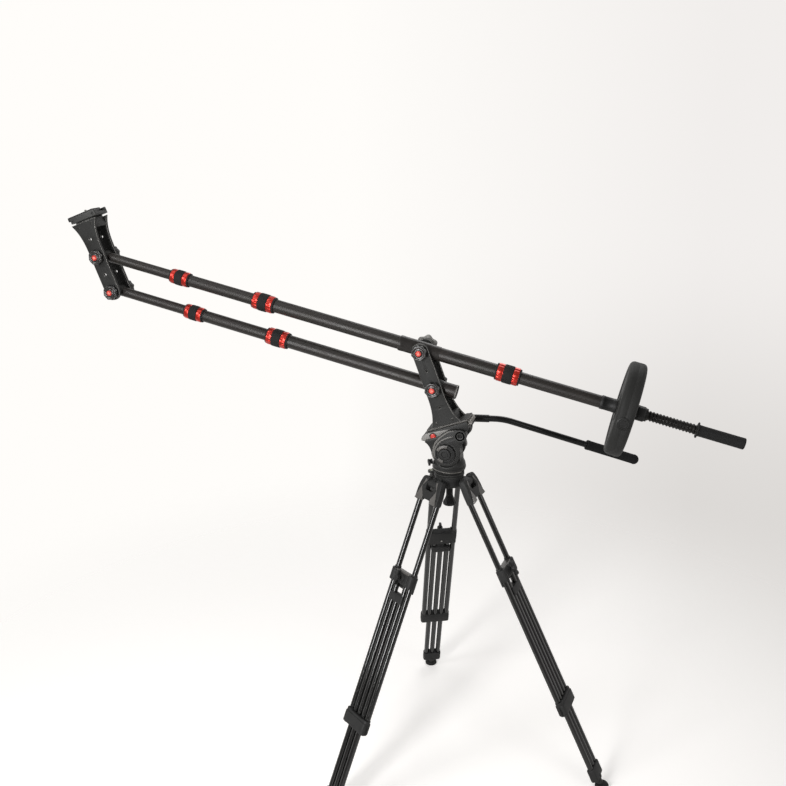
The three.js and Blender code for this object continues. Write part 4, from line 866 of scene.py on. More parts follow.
# Stove-enamelled steel bar: smooth and glossy, with long soft streaks in its shine.
enamel = skin(
    "Gloss stove enamel on steel tube", ("#070707", "#0d0d0d"), (0.24, 0.34), 6, 0.01, 60,
    {"IOR": 1.5, "Specular IOR Level": 0.3})
handle = local(pivot["handle_angle"])
root, bend, tip = vectors((6, 57, 17), (92.7, 65, 17), (430.3, 180, -115))
BEND_RUN = 24
into = bend + (root - bend).normalized() * BEND_RUN
out = bend + (tip - bend).normalized() * BEND_RUN
path = [root, root.lerp(into, 0.5)]
path += [into.lerp(bend, t).lerp(bend.lerp(out, t), t) for t in [i / 12 for i in range(13)]]
path += [out.lerp(tip, t) for t in (0.33, 0.66, 0.995)]


def swept(path, radius, steps=28):
    """A round bar along a path of points, closed at both ends."""
    shape = blank()
    rings = []
    side = Vector((0, 1, 0))
    for i, point in enumerate(path):
        way = (path[min(i + 1, len(path) - 1)] - path[max(i - 1, 0)]).normalized()
        side = (side - way * side.dot(way)).normalized()
        lift = way.cross(side)
        spread = [on_circle(1, k, steps) for k in range(steps)]
        rings.append([shape.verts.new(point + side * radius * x + lift * radius * y) for x, y in spread])
    walls(shape, rings)
    shape.faces.new(rings[0])
    shape.faces.new(rings[-1])
    return shape


arm = rounded(25, 39.4, 12, 10, y=6.8)
serration = turned([
    (4.5, 44.3), (11.4, 44.3, 0.8), (12.4, 46, 0.8), (12.6, 49), (4.5, 49)], 96, 24, closed=True)
detail("handle_arm", "pan_handle", cast_paint, handle, [
    (slab(arm, 48, 69, 1.4), ALONG_Y), (serration, TO_FAR)])
piece("handle_bar", "pan_handle", enamel, handle, [
    (swept(path, 8.2), moved()),
    (swept(path[:2] + [path[1].lerp(path[2], 0.6)], 10), moved())])

# Handle grip: a hollow sleeve of closed-cell foam rubber with a domed end, pushed on the bar. It
# covers the last 15 cm of the handle.

# Closed-cell foam: dead matt, with a fine pitted skin of 0.5 mm pores drawn at 1.4 mm.
foam = skin(
    "Closed-cell foam rubber", ("#0f0f0f", "#171717"), (0.78, 0.92), 1.4, 0.16, 12,
    {"IOR": 1.45, "Specular IOR Level": 0.25})
bar_way = (tip - bend).normalized()
grip_turn = bar_way.to_track_quat("Z", "Y").to_matrix().to_4x4()
grip_frame = handle @ Matrix.Translation(tip + bar_way * 5) @ grip_turn
DOME = 13.2
quarter_turn = [math.pi / 2 * i / 8 for i in range(8)]
sleeve = [(8.3, -150), (12.4, -150), (13.1, -149), (DOME, -147), (DOME, -143), (12.7, -142), (12.7, -15)]
sleeve += [(DOME, -14), *[(DOME * math.cos(a), DOME * (math.sin(a) - 1)) for a in quarter_turn],
           (0, 0), (0, -5), (8.3, -5)]
piece("handle_foam_grip", "pan_handle_grip", foam, grip_frame, [(turned(sleeve, 40, closed=True), moved())])


def lobed(radius, low, high, lobes, hollow, edge=1.6, steps=96):
    """The gripping part of a lobed knob along Z, with round rims."""
    return turned([
        (0, low), (radius - hollow - edge, low), (radius - edge * 0.5, low + edge * 0.15, hollow * 0.8),
        (radius, low + edge, hollow), (radius, high - edge, hollow),
        (radius - edge * 0.35, high - edge * 0.35, hollow), (radius - edge * 1.2, high, hollow * 0.9),
        (radius * 0.45, high), (0, high)], steps, lobes)


piece("handle_clamp_knob", "pan_handle_knob", nylon, handle, [
    (lobed(14, 69.3, 84, 6, 2.6), TO_FAR),
    (turned([(0, 83.5), (6.4, 83.5), (6, 84.3), (0, 84.3)], 24), TO_FAR)])

# Bracket plates: four alike, cut from 8 mm aluminium plate with a flared end, their rims eased and
# black-anodised. Each pair holds both booms between them on through bolts.

# Hard black anodising over a bead-blasted plate: an even dull charcoal, with a grain of about
# 0.2 mm that is drawn at 1 mm, and rims that catch the light.
anodised = skin(
    "Black-anodised bead-blasted aluminium plate", ("#222221", "#2b2b2a"), (0.48, 0.6), 1.0, 0.03, 60,
    {"IOR": 1.5, "Specular IOR Level": 0.22}, edge_wear_and_highlight="#6b6b69")
# Along the rims a satin grey line is painted as highlight, where light catches the eased edges.
painted_highlight_rim = skin(
    "Anodised rim painted as highlight", ("#8b8986", "#a09e9a"), (0.32, 0.42), 1.0, 0.01, 40, {"Metallic": 0.7})
PIVOT_SPACING, PLATE_LENGTH, FLARE_START = 100, 199, 122
PLATE_HALF, FLARE_HALF, PLATE_INNER, PLATE_OUTER = 22, 40, 23, 31
BOLT_HOLE, SPARE_HOLE = 5.3, 3.4
SIDES = ((-1, "near"), (1, "far"))


def plate_outline(way):
    """From the round end at the pivot to the flared end; way is 1 for upwards and -1 for downwards."""
    round_end = arc(PLATE_HALF, 180, 360, 28) if way > 0 else arc(PLATE_HALF, 0, 180, 28)
    bend = FLARE_START + (PLATE_LENGTH - FLARE_START) * 0.62
    flare = []
    for i in range(17):
        t = i / 16
        x = PLATE_HALF * (1 - t) ** 2 + 2 * PLATE_HALF * t * (1 - t) + FLARE_HALF * t * t
        z = FLARE_START * (1 - t) ** 2 + 2 * bend * t * (1 - t) + PLATE_LENGTH * t * t
        flare.append(Vector((way * x, way * z)))
    return round_end + flare + [Vector((-p.x, p.y)) for p in reversed(flare)]


def bracket_plates(node, way, frame_mm):
    """A near and a far plate with bolt holes, spare holes and flush socket screws of dark steel."""
    for side, name in SIDES:
        inner, outer = sorted((side * PLATE_INNER, side * PLATE_OUTER))
        holes = [
            ring_outline(BOLT_HOLE), ring_outline(BOLT_HOLE, y=way * PIVOT_SPACING),
            ring_outline(SPARE_HOLE, 20, y=way * PIVOT_SPACING * 0.5),
            ring_outline(SPARE_HOLE, 20, y=way * PIVOT_SPACING * 1.5)]
        plate = piece(f"{node}_{name}_sheet", f"{node}_{name}", anodised, frame_mm, [
            (slab(plate_outline(way), inner, outer, 1.5, holes), ALONG_Y)])
        plate.data.materials.append(painted_highlight_rim)
        # The eased rim faces take the painted highlight.
        for face in plate.data.polygons:
            if 0.3 < abs(face.normal.y) < 0.93:
                face.material_index = 1
    cone = [(0, -1.2), (4.0, -1.2), (4.1, 0.1), (3.7, 0.3), (1.9, 0.3), (1.7, -0.9), (0, -0.9)]
    screw_height = way * (PLATE_LENGTH - 10)
    for side, name in SIDES:
        detail(f"{node}_screws_{name}", f"{node}_{name}", dark_steel, frame_mm, [
            (turned(cone, 24), moved(x, side * (PLATE_OUTER - 0.2), screw_height) @ TO_SIDE[side])
            for x in (-22, 22)], slot="black_steel")


# Black-oxide steel: near black with a dull oily shine, for the plates' screws, the pale star's
# bolt and the weight bar.
dark_steel = skin(
    "Black-oxide steel", ("#181716", "#242220"), (0.3, 0.42), 0.7, 0.02, 9,
    {"Metallic": 0.55, "IOR": 1.5}, edge_wear_and_highlight="#5a5753")

rear_bracket = local(pivot["knob_rear_upper_turn"], HEAD_PITCH)
bracket_plates("rear_plate", -1, rear_bracket)

# Base block and flange between the lower ends of the plates: machined from one bar, with eased
# edges. The flange stands on the pan head's slide plate.
flange_top = -PLATE_LENGTH - 0.3
base_block = slab(rounded(60, 45.4, 2), flange_top - 2, flange_top + 24, 1.2)
flange_plate = slab(rounded(115, 58, 5, x=2.5), flange_top - 5, flange_top, 1.1)
piece("base_block", "rear_base_block", anodised, rear_bracket, [(base_block, moved())])
# The flange's edge is painted a lighter grey than its faces, standing in for the light that falls on it.
lit_edge_paint = skin(
    "Flange edge painted lighter as lit", ("#454341", "#53514e"), (0.4, 0.5), 1.0, 0.02, 30, {"Metallic": 0.4})
flange = detail("base_flange", "rear_base_block", anodised, rear_bracket, [(flange_plate, moved())])
flange.data.materials.append(lit_edge_paint)
flange_normal = rear_bracket.to_3x3() @ Vector((0, 0, 1000))
# Its side faces take the lighter paint that stands in for light.
for face in flange.data.polygons:
    if abs(face.normal.dot(flange_normal)) < 0.8:
        face.material_index = 1

# Slide plate: an extruded dovetail bar in clear-anodised aluminium, brushed along its length.
# It lies in the cradle's channel and carries the crane.

# Brushing leaves lines of about 0.2 mm, drawn 1.2 mm apart and 60 mm long.
brushed, tree, shader = surface("Brushed anodised aluminium extrusion", {"Metallic": 0.85})
where = add(tree, "TexCoord").outputs["Object"]
combed = add(tree, "Mapping", {"vector_type": "TEXTURE"}, {
    "Vector": where, "Rotation": (0, math.radians(HEAD_PITCH), 0), "Scale": (0.06, 0.0012, 0.0012)})
strokes = add(tree, "TexNoise", {}, {"Vector": combed.outputs[0], "Scale": 1, "Detail": 3})
tone = add(tree, "Mix", {"data_type": "RGBA"}, {
    0: strokes.outputs[0], 6: linear("#6c6a66"), 7: linear("#94918d")})
gloss = add(tree, "MapRange", {}, {"Value": strokes.outputs[0], "To Min": 0.34, "To Max": 0.5})
relief = add(tree, "Bump", {}, {"Height": strokes.outputs[0], "Strength": 0.3, "Distance": 0.00004})
connect(tree, shader, tone.outputs[2], gloss.outputs[0], relief.outputs[0])
dovetail = vectors(
    (-25, 53.4), (25, 53.4), (25, 56), (22.6, 58.4), (22.6, 60.4), (24.2, 61.6), (24.2, 63.4),
    (-24.2, 63.4), (-24.2, 61.6), (-22.6, 60.4), (-22.6, 58.4), (-25, 56))
piece("slide_dovetail", "slide_plate", brushed, head, [(slab(dovetail, -32, 88, 0.5), ALONG_X)])

# Near knobs: lobed hand knobs in glass-filled nylon on the ends of the pivot bolts, each with a
# red cap pressed into its face. They are hollow round the bolt.
cap_red = skin(
    "Red anodised aluminium cap", ("#b8302a", "#d24436"), (0.4, 0.5), 0.8, 0.01, 5,
    {"Metallic": 0.3, "IOR": 1.5})
# A pale salmon disc inside each cap, painted as the highlight on its dome.
cap_highlight_disc = skin(
    "Pale salmon cap centre, painted highlight", ("#d97466", "#e58d80"), (0.55, 0.65), 0.6, 0.01, 3,
    {"Specular IOR Level": 0.3})
# The same nylon where palms have polished the near knobs: it shines along their round rims.
handled_nylon = skin(
    "Glass-filled nylon polished by handling", ("#171615", "#201f1d"), (0.26, 0.34), 1.0, 0.004, 18,
    {"IOR": 1.53, "Specular IOR Level": 0.75})


def near_knob(node):
    """A lobed knob with its red cap and the pale disc painted as highlight inside the cap."""
    at = local(pivot[f"knob_{node}_turn"], HEAD_PITCH)
    grip = turned([
        (5.3, 31.4), (12, 31.4), (12.6, 32), (12.6, 34), (15, 35.2), (18, 36, 1.2), (20, 37.6, 2),
        (20.5, 39.4, 2.2), (20.5, 43, 2.2), (20, 44.2, 2.1), (19, 44.8, 1.2), (18.2, 45.4), (17, 46.3),
        (15.8, 46.4), (14.6, 45.8), (13.6, 44.8), (12, 44.2), (10, 44.2), (8.8, 45), (8.1, 46.2),
        (7.6, 46.4), (5.3, 46.4)], 128, 8, closed=True)
    piece(f"knob_{node}", f"{node}_knob", handled_nylon, at, [(grip, TO_NEAR)])
    cap = turned([
        (0, 44), (7.3, 44), (7.4, 46.4), (7.2, 48), (6.5, 49), (5.6, 49.3), (4.4, 49.1), (4.2, 48.6),
        (0, 48.5)], 40)
    detail(f"knob_{node}_cap", f"{node}_knob", cap_red, at, [(cap, TO_NEAR)], slot="red_metal")
    face = turned([(0, 48.4), (3.7, 48.4), (3.7, 48.9), (2, 49.15), (0, 49.2)], 32)
    detail(f"knob_{node}_face", f"{node}_knob", cap_highlight_disc, at, [(face, TO_NEAR)], slot="red_metal")


# Far ends of the pivot bolts: steel bolts with moulded heads, black ones and one large pale
# star. Each bolt holds a boom between a pair of plates.

# Moulded polyamide in light grey: a dull, slightly dusty skin.
grey_nylon = skin(
    "Light grey moulded polyamide", ("#797774", "#8a8885"), (0.48, 0.6), 1.0, 0.06, 16,
    {"IOR": 1.53}, edge_wear_and_highlight="#a3a19d")


def far_bolt(node, star=False):
    """A bolt that reaches through both plates, with its hub and its head."""
    at = local(pivot[f"bolt_{node}_turn"], HEAD_PITCH)
    shank = turned([(0, -43), (4.3, -43), (4.9, -42.2), (4.9, 36), (0, 36)], 24)
    hub = turned(raised(31.3, [(0, 0), (11.8, 0), (12.4, 0.7), (12.4, 5), (0, 5)]), 36)
    shapes = [(shank, TO_FAR), (hub, TO_FAR)]
    if star:
        wheel = turned([
            (0, 35.5), (12, 35.5), (19, 36.2, 1.6), (26, 37.6, 4.2), (28, 39.6, 5), (28.5, 42, 5),
            (28.5, 45.6, 5), (27.6, 48.6, 4.8), (25, 50.6, 4), (17, 51.6, 1.4), (12.6, 51.8),
            (10.8, 50.6), (9.4, 50.2), (0, 50.2)], 120, 6)
        detail(f"star_{node}", f"{node}_bolt", grey_nylon, at, [(wheel, TO_FAR)], slot="grey_plastic")
    else:
        button = turned([(0, 49), (6.2, 49), (6, 49.9), (4.6, 50.2), (0, 50.2)], 28)
        shapes += [(lobed(20, 35.6, 49.5, 8, 2.4), TO_FAR), (button, TO_FAR)]
    piece(f"bolt_{node}", f"{node}_bolt", dark_steel if star else nylon, at, shapes)


for node in ("rear_upper", "rear_lower", "front_upper", "front_lower"):
    near_knob(node)
    far_bolt(node, star=node == "rear_upper")

# Booms: telescoping tubes rolled from carbon-fibre twill, three to the upper boom and three to the
# lower, and one more for the counterweight end. Steel and aluminium ends are bonded in.

# Carbon twill under satin lacquer: dark brown-grey, with a broad soft shine along the tube. The
# tows are 2 mm wide and are drawn at 3.2 mm, faintly, two over and two under.
carbon, tree, shader = surface("Satin-lacquered carbon-fibre twill", {
    "IOR": 1.52, "Specular IOR Level": 0.5, "Metallic": 0.2})
spread = add(tree, "SeparateXYZ", {}, {0: add(tree, "TexCoord").outputs["UV"]})
TOW = 0.0032
around = add(tree, "Math", {"operation": "DIVIDE"}, {0: spread.outputs["X"], 1: TOW})
along = add(tree, "Math", {"operation": "DIVIDE"}, {0: spread.outputs["Y"], 1: TOW})
columns = add(tree, "Math", {"operation": "FLOOR"}, {0: around.outputs[0]})
rows = add(tree, "Math", {"operation": "FLOOR"}, {0: along.outputs[0]})
diagonal = add(tree, "Math", {"operation": "ADD"}, {0: columns.outputs[0], 1: rows.outputs[0]})
step = add(tree, "Math", {"operation": "FLOORED_MODULO"}, {0: diagonal.outputs[0], 1: 4})
over = add(tree, "Math", {"operation": "LESS_THAN"}, {0: step.outputs[0], 1: 2})
across_warp = add(tree, "Math", {"operation": "PINGPONG"}, {0: around.outputs[0], 1: 0.5})
across_weft = add(tree, "Math", {"operation": "PINGPONG"}, {0: along.outputs[0], 1: 0.5})
crown = add(tree, "Mix", {}, {0: over.outputs[0], 2: across_weft.outputs[0], 3: across_warp.outputs[0]})
cloth = add(tree, "Mix", {"data_type": "RGBA"}, {
    0: over.outputs[0], 6: linear("#1f1b18"), 7: linear("#26211e")})
clouds = add(tree, "TexNoise", {}, {
    "Vector": add(tree, "TexCoord").outputs["Object"], "Scale": 30, "Detail": 4})
tone = add(tree, "Mix", {"data_type": "RGBA", "blend_type": "MULTIPLY"}, {
    0: 0.3, 6: cloth.outputs[2], 7: clouds.outputs[1]})
gloss = add(tree, "MapRange", {}, {
    "Value": clouds.outputs[0], "From Min": 0.3, "From Max": 0.7, "To Min": 0.38, "To Max": 0.48})
relief = add(tree, "Bump", {}, {"Height": crown.outputs[0], "Strength": 0.06, "Distance": 0.00012})
connect(tree, shader, tone.outputs[2], gloss.outputs[0], relief.outputs[0])

BOOM_PITCH, BOOM_LENGTH = 14.3, 919
BASE_RADIUS, MIDDLE_RADIUS, TIP_RADIUS = 17.5, 15.5, 13
upper_boom = local(pivot["boom_tilt"], BOOM_PITCH)
lower_boom = local(pivot["lower_boom_tilt"], BOOM_PITCH)


def hollow(radius, wall, low, high):
    """An open tube along a boom, with its ends eased."""
    ease = 0.5
    return turned([
        (radius - wall, low), (radius - ease, low), (radius, low + ease), (radius, high - ease),
        (radius - ease, high), (radius - wall, high)], 64, closed=True)


def cross_boss():
    """A round boss across a boom, bored for its bolt."""
    return turned([
        (5.5, -22.7), (11.2, -22.7), (12, -22), (12, 22), (11.2, 22.7), (5.5, 22.7)], 40, closed=True)


for boom, at, rear_end in (("upper", upper_boom, 215), ("lower", lower_boom, 55)):
    for tier, radius, wall, front, back in (
        ("base", BASE_RADIUS, 1.5, -450, rear_end), ("middle", MIDDLE_RADIUS, 2, -690, -200),
        ("tip", TIP_RADIUS, 1.5, -BOOM_LENGTH + 15, -440),
    ):
        piece(f"{boom}_{tier}_carbon", f"{boom}_{tier}_tube", carbon, at, [
            (hollow(radius, wall, front, back), ALONG_X)])
    # Pivot eye: an aluminium fork end, anodised black, with a cross boss that turns on the bolt.
    plug = tube(13.2, -BOOM_LENGTH, -BOOM_LENGTH + 17, 40, 1.2)
    detail(f"{boom}_tip_eye", f"{boom}_tip_tube", anodised, at, [
        (cross_boss(), moved(x=-BOOM_LENGTH) @ TO_FAR), (plug, ALONG_X)], slot="black_metal")
piece("tail_carbon", "upper_tail_tube", carbon, upper_boom, [
    (hollow(MIDDLE_RADIUS, 2, 72, 490), ALONG_X)])

# Boom sleeve at the rear bracket: a black-anodised aluminium tube bonded over the upper boom, with
# a cross boss for the bolt. The lower boom has a shorter one, and an end cap behind the bracket.

# Satin black anodising on a drawn tube: dark brown-grey like the carbon, with a broad soft shine.
satin_tube = skin(
    "Satin black-anodised drawn tube", ("#1f1c1a", "#282422"), (0.36, 0.46), 1.2, 0.01, 40,
    {"IOR": 1.52, "Specular IOR Level": 0.5, "Metallic": 0.2})
sleeve = turned([
    (17.7, -62), (19.2, -62), (20, -61.2), (20, -52), (19.6, -51.4), (19.6, 20), (18.6, 22),
    (18.6, 44.6), (18.2, 45.6), (17.7, 46)], 64, closed=True)
piece("sleeve_and_boss", "boom_sleeve", satin_tube, upper_boom, [
    (sleeve, ALONG_X), (cross_boss(), TO_FAR)])
collar = turned([
    (17.4, -17), (18.4, -17), (19, -16.4), (19, 16.4), (18.4, 17), (17.4, 17)], 64, closed=True)
end_cap = turned([
    (0, 54), (17.6, 54), (18.2, 53), (18.4, 53.4), (18.4, 56), (17.8, 57), (16.6, 57), (15.8, 56.2),
    (15.4, 55.4), (0, 55.2)], 64)
detail("lower_collar_and_cap", "lower_base_tube", anodised, lower_boom, [
    (collar, ALONG_X), (cross_boss(), TO_FAR), (end_cap, ALONG_X)], slot="black_metal")
# The cap's rim is painted bright, as a highlight along its edge.
cap_highlight_rim = turned([
    (17, 56.9), (18, 56.9), (18.5, 56.2), (18.5, 54.8), (18, 54.6), (17, 56.3)], 64, closed=True)
detail("lower_cap_rim", "lower_base_tube", painted_highlight_rim, lower_boom, [
    (cap_highlight_rim, ALONG_X)], slot="bare_steel")

# Twist locks: two red rings with a black rubber barrel between them and a short skirt behind.
# The rings are turned in aluminium and dyed red; the larger ones have shallow milled scallops.

# Red-anodised turned aluminium: a deep, bright red metal with fine lathe lines, 0.3 mm apart and
# drawn at 1.1 mm.
red_metal, tree, shader = surface("Red-anodised turned aluminium", {
    "Metallic": 0.75, "Coat Weight": 0.35, "Coat Roughness": 0.2})
along = add(tree, "TexCoord").outputs["UV"]
grooves = add(tree, "Mapping", {}, {"Vector": along, "Scale": (3, 900, 1)})
lathed = add(tree, "TexNoise", {}, {"Vector": grooves.outputs[0], "Scale": 1, "Detail": 2})
dye = add(tree, "TexNoise", {}, {"Vector": along, "Scale": 70, "Detail": 3})
tone = add(tree, "Mix", {"data_type": "RGBA"}, {
    0: dye.outputs[0], 6: linear("#a32017"), 7: linear("#cc3223")})
gloss = add(tree, "MapRange", {}, {"Value": lathed.outputs[0], "To Min": 0.2, "To Max": 0.38})
relief = add(tree, "Bump", {}, {"Height": lathed.outputs[0], "Strength": 0.1, "Distance": 0.00005})
connect(tree, shader, tone.outputs[2], gloss.outputs[0], relief.outputs[0])


def twist_lock(name, node, at, start, length, flipped, radius, thin, thick, notches):
    """A lock from its nose on the thin tube to its skirt, drawn in shares of its length and radius."""
    thin_bore, thick_bore = thin + 0.6, thick + 0.35

    def run(shares, inner, dip=0.0, lobes=0, steps=112):
        """One part of the lock, bored to an inner radius, with hollows of a depth between its lobes."""
        places = [(radius * r, start + length * (1 - share if flipped else share)) for share, r in shares]
        stations = [(*place, dip) for place in places[1:-1]]
        return turned([
            (inner, places[0][1]), places[0], *stations, places[-1], (inner, places[-1][1])],
            steps, lobes, closed=True)

    scallop = 1.3 if notches else 0.0
    nose = run([
        (0.06, 0.9), (0.075, 0.945), (0.1, 0.96), (0.25, 0.96), (0.275, 0.945), (0.29, 0.91)],
        thin_bore, scallop, notches)
    ring = run([
        (0.69, 0.91), (0.705, 0.945), (0.725, 0.96), (0.9, 0.96), (0.92, 0.945), (0.935, 0.91)],
        thick_bore, scallop, notches)
    piece(f"{name}_rings", node, red_metal, at, [(nose, ALONG_X), (ring, ALONG_X)])
    lip = run([(0.0, 0.84), (0.01, 0.87), (0.05, 0.88), (0.062, 0.87)], thin_bore)
    barrel = run([
        (0.288, 0.93), (0.3, 0.975), (0.33, 0.995), (0.49, 1.0), (0.65, 0.995), (0.68, 0.975),
        (0.692, 0.93)], thick_bore, 0.4, 40, 160)
    skirt = run([(0.93, 0.89), (0.945, 0.905), (0.985, 0.905), (1.0, 0.88)], thick_bore)
    detail(f"{name}_barrel", node, rubber, at, [
        (lip, ALONG_X), (barrel, ALONG_X), (skirt, ALONG_X)], slot="rubber")


for boom, at in (("upper", upper_boom), ("lower", lower_boom)):
    twist_lock(f"{boom}_front_twist", f"{boom}_front_lock", at, -712.5, 55, False, 20.7,
               TIP_RADIUS, MIDDLE_RADIUS, 0)
    twist_lock(f"{boom}_middle_twist", f"{boom}_middle_lock", at, -471, 62, False, 23.7,
               MIDDLE_RADIUS, BASE_RADIUS, 14)
twist_lock("tail_twist", "tail_lock", upper_boom, 193, 62, True, 23.7, MIDDLE_RADIUS, BASE_RADIUS, 14)

# Weight bar: a steel bar with a coarse rolled thread, blackened, in a moulded end sleeve. The
# counterweight slides on it up to the sleeve, held by a rubber washer and a lobed collar nut.
SLEEVE_FRONT, PLUG_END = 458, 490.5
WEIGHT_FRONT, WEIGHT_REAR = 497.3, 540.3
GRIP_START, GRIP_END, BAR_END = 690.6, 804.8, 702
PITCH = 8


def threaded(root, crest, low, high, steps=40, per_turn=16):
    """A coarse round thread: the radius follows the helix, flat along its crest."""
    shape = blank()
    rings = []
    count = round((high - low) / PITCH * per_turn)
    for i in range(count + 1):
        height = low + (high - low) * i / count
        ring = []
        for k in range(steps):
            phase = height / PITCH - k / steps
            wave = 0.5 + 0.5 * math.cos(math.tau * phase)
            r = root + (crest - root) * held((wave - 0.18) / 0.62)
            ring.append(shape.verts.new((*on_circle(r, k, steps), height)))
        rings.append(ring)
    walls(shape, rings)
    shape.faces.new(rings[0])
    shape.faces.new(rings[-1])
    return shape


piece("threaded_bar", "weight_bar", dark_steel, upper_boom, [
    (threaded(10.6, 12.5, WEIGHT_REAR - 4, GRIP_START + 1), ALONG_X),
    (tube(12.5, 489, WEIGHT_REAR - 2, 40), ALONG_X), (tube(13.2, SLEEVE_FRONT, PLUG_END, 40), ALONG_X),
    (tube(12.5, GRIP_START, BAR_END, 40), ALONG_X)])
sleeve = raised(SLEEVE_FRONT, [(15.8, 0), (16.6, 0), (17.2, 0.8), (17.2, 8), (16.8, 8.6)])
sleeve += raised(WEIGHT_FRONT, [(16.8, -9), (17.2, -8.4), (17.2, -1.2), (16.4, -0.3), (12.9, -0.3)])
sleeve += [(12.9, PLUG_END), (15.8, PLUG_END)]
piece("bar_end_sleeve", "weight_end_sleeve", nylon, upper_boom, [
    (turned(sleeve, 48, closed=True), ALONG_X)])

# Counterweight: a cement-filled disc in a blow-moulded vinyl shell, with thick rounded rims, a
# sunk ring in each face and a filler plug in its edge.

# Blow-moulded vinyl: dark grey with a soft waxy sheen, faint flow marks round the disc, and rims
# painted pale as highlight where they bend.
vinyl = skin(
    "Blow-moulded grey vinyl", ("#191918", "#232322"), (0.6, 0.74), 2.2, 0.03, 70,
    {"IOR": 1.54, "Specular IOR Level": 0.3}, edge_wear_and_highlight="#5c5c5b")
HALF = (WEIGHT_REAR - WEIGHT_FRONT) / 2
MIDDLE = (WEIGHT_FRONT + WEIGHT_REAR) / 2
half_profile = raised(HALF, [
    (13.1, -0.6), (13.7, 0), (31, 0), (33, -0.5), (34.6, -1.6), (36, -2.8), (37.6, -3), (92.6, -3),
    (94.4, -2.8), (96, -1.6), (97.4, -0.5), (99, 0), (105.5, -0.3), (109.6, -1.2), (113, -3),
    (115.4, -5.6), (116.6, -8.6), (117, -11.5)])
half_profile += [(117, 1.2)]
disc = half_profile + [(116.7, 0.5), (116.7, -0.5)] + [(r, -h) for r, h in reversed(half_profile)]
piece("vinyl_disc", "weight_plate", vinyl, upper_boom, [
    (turned(disc[::-1], 120, closed=True), moved(x=MIDDLE) @ ALONG_X)])

# Filler plug: a press-fit polythene cap with two raised rings, curved to the disc's edge. It
# closes the hole through which the shell was filled.

# Moulded black polythene: darker than the vinyl, with a soft even shine.
polythene = skin(
    "Moulded black polythene", ("#0c0c0b", "#131312"), (0.42, 0.52), 1.4, 0.01, 40,
    {"IOR": 1.51, "Specular IOR Level": 0.4})
plug = turned([
    (0, 117.4), (7.6, 117.4), (8.2, 117.9), (9.4, 117.9), (10, 117.4), (13, 117.4), (13.6, 118.2),
    (15.6, 118.2), (16.3, 117.7), (16.5, 116.8), (16.5, 105), (0, 105)], 56)
for vert in plug.verts:
    if vert.co.z > 110:
        vert.co.z -= vert.co.y ** 2 / 240
piece("filler_plug", "weight_fill_plug", polythene, upper_boom, [(plug, moved(x=MIDDLE) @ TO_NEAR)])

# Washer, collar nut and tail grip: a rubber ring, a lobed nylon nut that clamps the weight, and a
# ribbed rubber sleeve over the end of the bar.
washer_at = WEIGHT_REAR + 0.3
washer = raised(washer_at, [(13.1, 0), (16.2, 0), (17.1, 0.8), (17.1, 2.2), (16.2, 3), (13.1, 3)])
piece("rubber_washer", "collar_washer", rubber, upper_boom, [
    (turned(washer, 48, closed=True), ALONG_X)])
nut = raised(washer_at + 3.3, [
    (13, 0), (15.8, 0), (17.6, 0.6, 1.2), (18.8, 2.2, 1.6), (18.8, 19, 1.6), (18, 21.6, 1.5),
    (16.8, 23, 0.8), (16, 23.4), (16, 27), (15.2, 28), (13, 28)])
piece("lobed_collar_nut", "collar_nut", nylon, upper_boom, [(turned(nut, 96, 6, closed=True), ALONG_X)])
grip = raised(GRIP_START, [
    (12.8, 0), (18.2, 0), (19.4, 0.8), (19.5, 2), (19, 3), (17, 3.6), (14.8, 4.2), (14, 6)])
RIBS, RIB_SPACING = 30, 3
for i in range(RIBS):
    grip += raised(GRIP_START + 9 + RIB_SPACING * i, [
        (14, 0, 0.35), (14, 1.9, 0.35), (13.6, 2.2, 0.35), (13.6, 2.7, 0.35)])
grip += raised(GRIP_END, [
    (14, -12), (14, -3), (13.6, -1.6), (12.4, -0.5), (11.2, -0.2), (10.2, -0.6), (9.6, -2), (0, -2.4)])
grip += raised(BAR_END, [(0, 0.3), (12.8, 0.3)])
piece("ribbed_tail_grip", "tail_grip", rubber, upper_boom, [(turned(grip, 72, 24, closed=True), ALONG_X)])

# Front bracket: the same plates, flared upwards, with a machined block between their tops that
# carries the quick-release clamp.
front_lower = local(pivot["knob_front_lower_turn"], HEAD_PITCH)
front_bracket = local(pivot["knob_front_upper_turn"], HEAD_PITCH)
bracket_plates("front_plate", 1, front_lower)
bracket_top = PLATE_LENGTH - PIVOT_SPACING
foot_top = bracket_top + 4.3
piece("clamp_block", "front_top_block", anodised, front_bracket, [
    (slab(rounded(60, 45.4, 2), bracket_top - 24, bracket_top + 2.3, 1.2), moved()),
    (slab(rounded(56, 50, 3), bracket_top + 0.3, foot_top, 0.9), moved())])

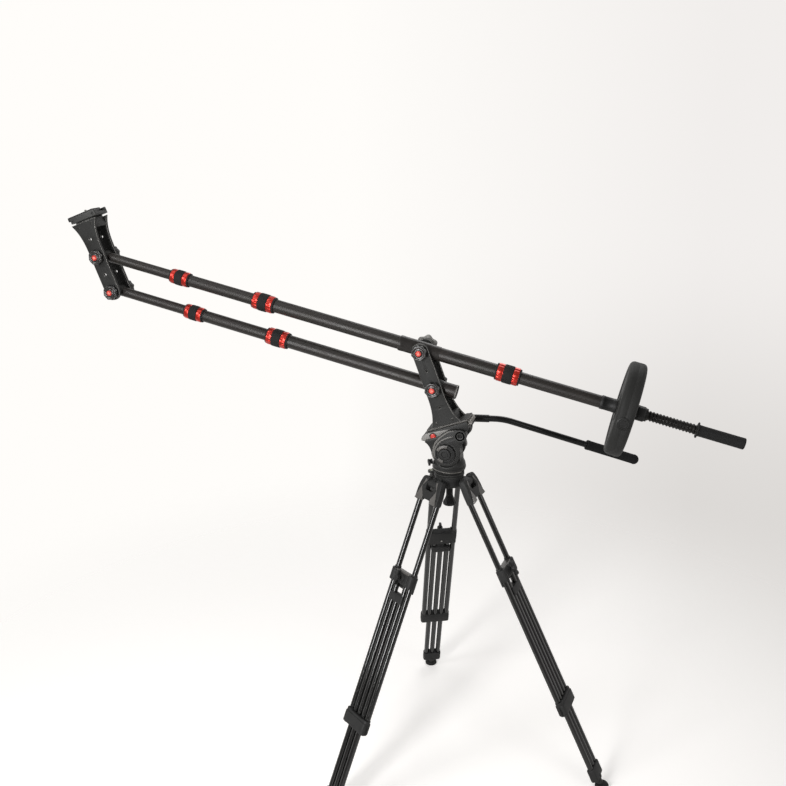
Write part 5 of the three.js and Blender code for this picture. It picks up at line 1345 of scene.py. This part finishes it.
# Quick-release clamp: a cast body with a dovetail slot, its jaw drawn in by the side knob.
# The camera plate sits in the slot.
clamp_base = foot_top + 0.3
clamp_top = clamp_base + 17
slot_floor = clamp_top - 8
body = vectors(
    (-29, clamp_base + 1), (-28, clamp_base), (28, clamp_base), (29, clamp_base + 1),
    (29, clamp_top - 3), (27.6, clamp_top), (22.6, clamp_top), (21.4, clamp_top - 1.2),
    (21.4, slot_floor), (-21.4, slot_floor), (-21.4, clamp_top - 1.2), (-22.6, clamp_top),
    (-27.6, clamp_top), (-29, clamp_top - 3))
shapes = [(slab(body, -38, 44, 1.4), ALONG_X)]
for side in (-1, 1):
    pad = rounded(82, 5, 2, x=3, y=side * 25.6)
    shapes.append((slab(pad, clamp_top - 1, clamp_top - 0.1, 0.4), moved()))
for x in (-30, 36):
    shapes.append((screw_head(3.6, 1.6, 1.5), moved(x, -29, clamp_base + 7.5) @ TO_NEAR))
piece("quick_release_body", "camera_clamp", head_paint, front_bracket, shapes)
knob_at = local(pivot["clamp_knob_turn"], HEAD_PITCH)
piece("clamp_jaw_knob", "camera_clamp_knob", nylon, knob_at, [
    (turned([(0, 29.3), (4, 29.3), (4, 36), (6.4, 36.4), (0, 36.4)], 24), TO_FAR),
    (lobed(11, 35.4, 47.3, 6, 2.2, 1.4), TO_FAR)])

# Camera plate: a cast plate with a rubber face, cut with fine cross grooves for grip, and the
# quarter-inch screw that holds the camera. The camera is left off.
plate_floor = slot_floor + 0.3
plate_top = plate_floor + 11
plate = slab(rounded(84, 42, 3, x=-8), plate_floor, plate_top - 2.2, 0.7)
piece("release_plate", "camera_plate", head_paint, front_bracket, [(plate, moved())], slot="black_metal")
# The rubber strips by the camera screw are cut short on either side of it.
whole_strip, cut_strips = ((39, 0),), ((8.6, -15.2), (8.6, 15.2))
strips = []
for i in range(13):
    x = -46.6 + 6.4 * i
    for depth, y in cut_strips if abs(x) < 10 else whole_strip:
        strip = rounded(5, depth, 1.2, 3, x=x, y=y)
        strips.append((slab(strip, plate_top - 2.6, plate_top, 0.6, edge_steps=2), moved()))
detail("release_plate_face", "camera_plate", rubber, front_bracket, strips)
thread = [(0, plate_floor + 0.4)]
thread += [(3.15 if i % 2 else 2.75, plate_floor + 4 + 0.6 * i) for i in range(20)]
thread += raised(plate_floor, [(2.2, 16.4), (0, 16.5)])
head_disc = raised(plate_floor, [(0, 0), (7.4, 0), (8, 0.5), (8, 2.4), (7.4, 3), (0, 3)])
piece("quarter_inch_screw", "camera_screw", zinc_plate, front_bracket, [
    (turned(thread, 24), moved()), (turned(head_disc, 36), moved())])

# Sizes: the dressed crane's box.
low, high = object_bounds()
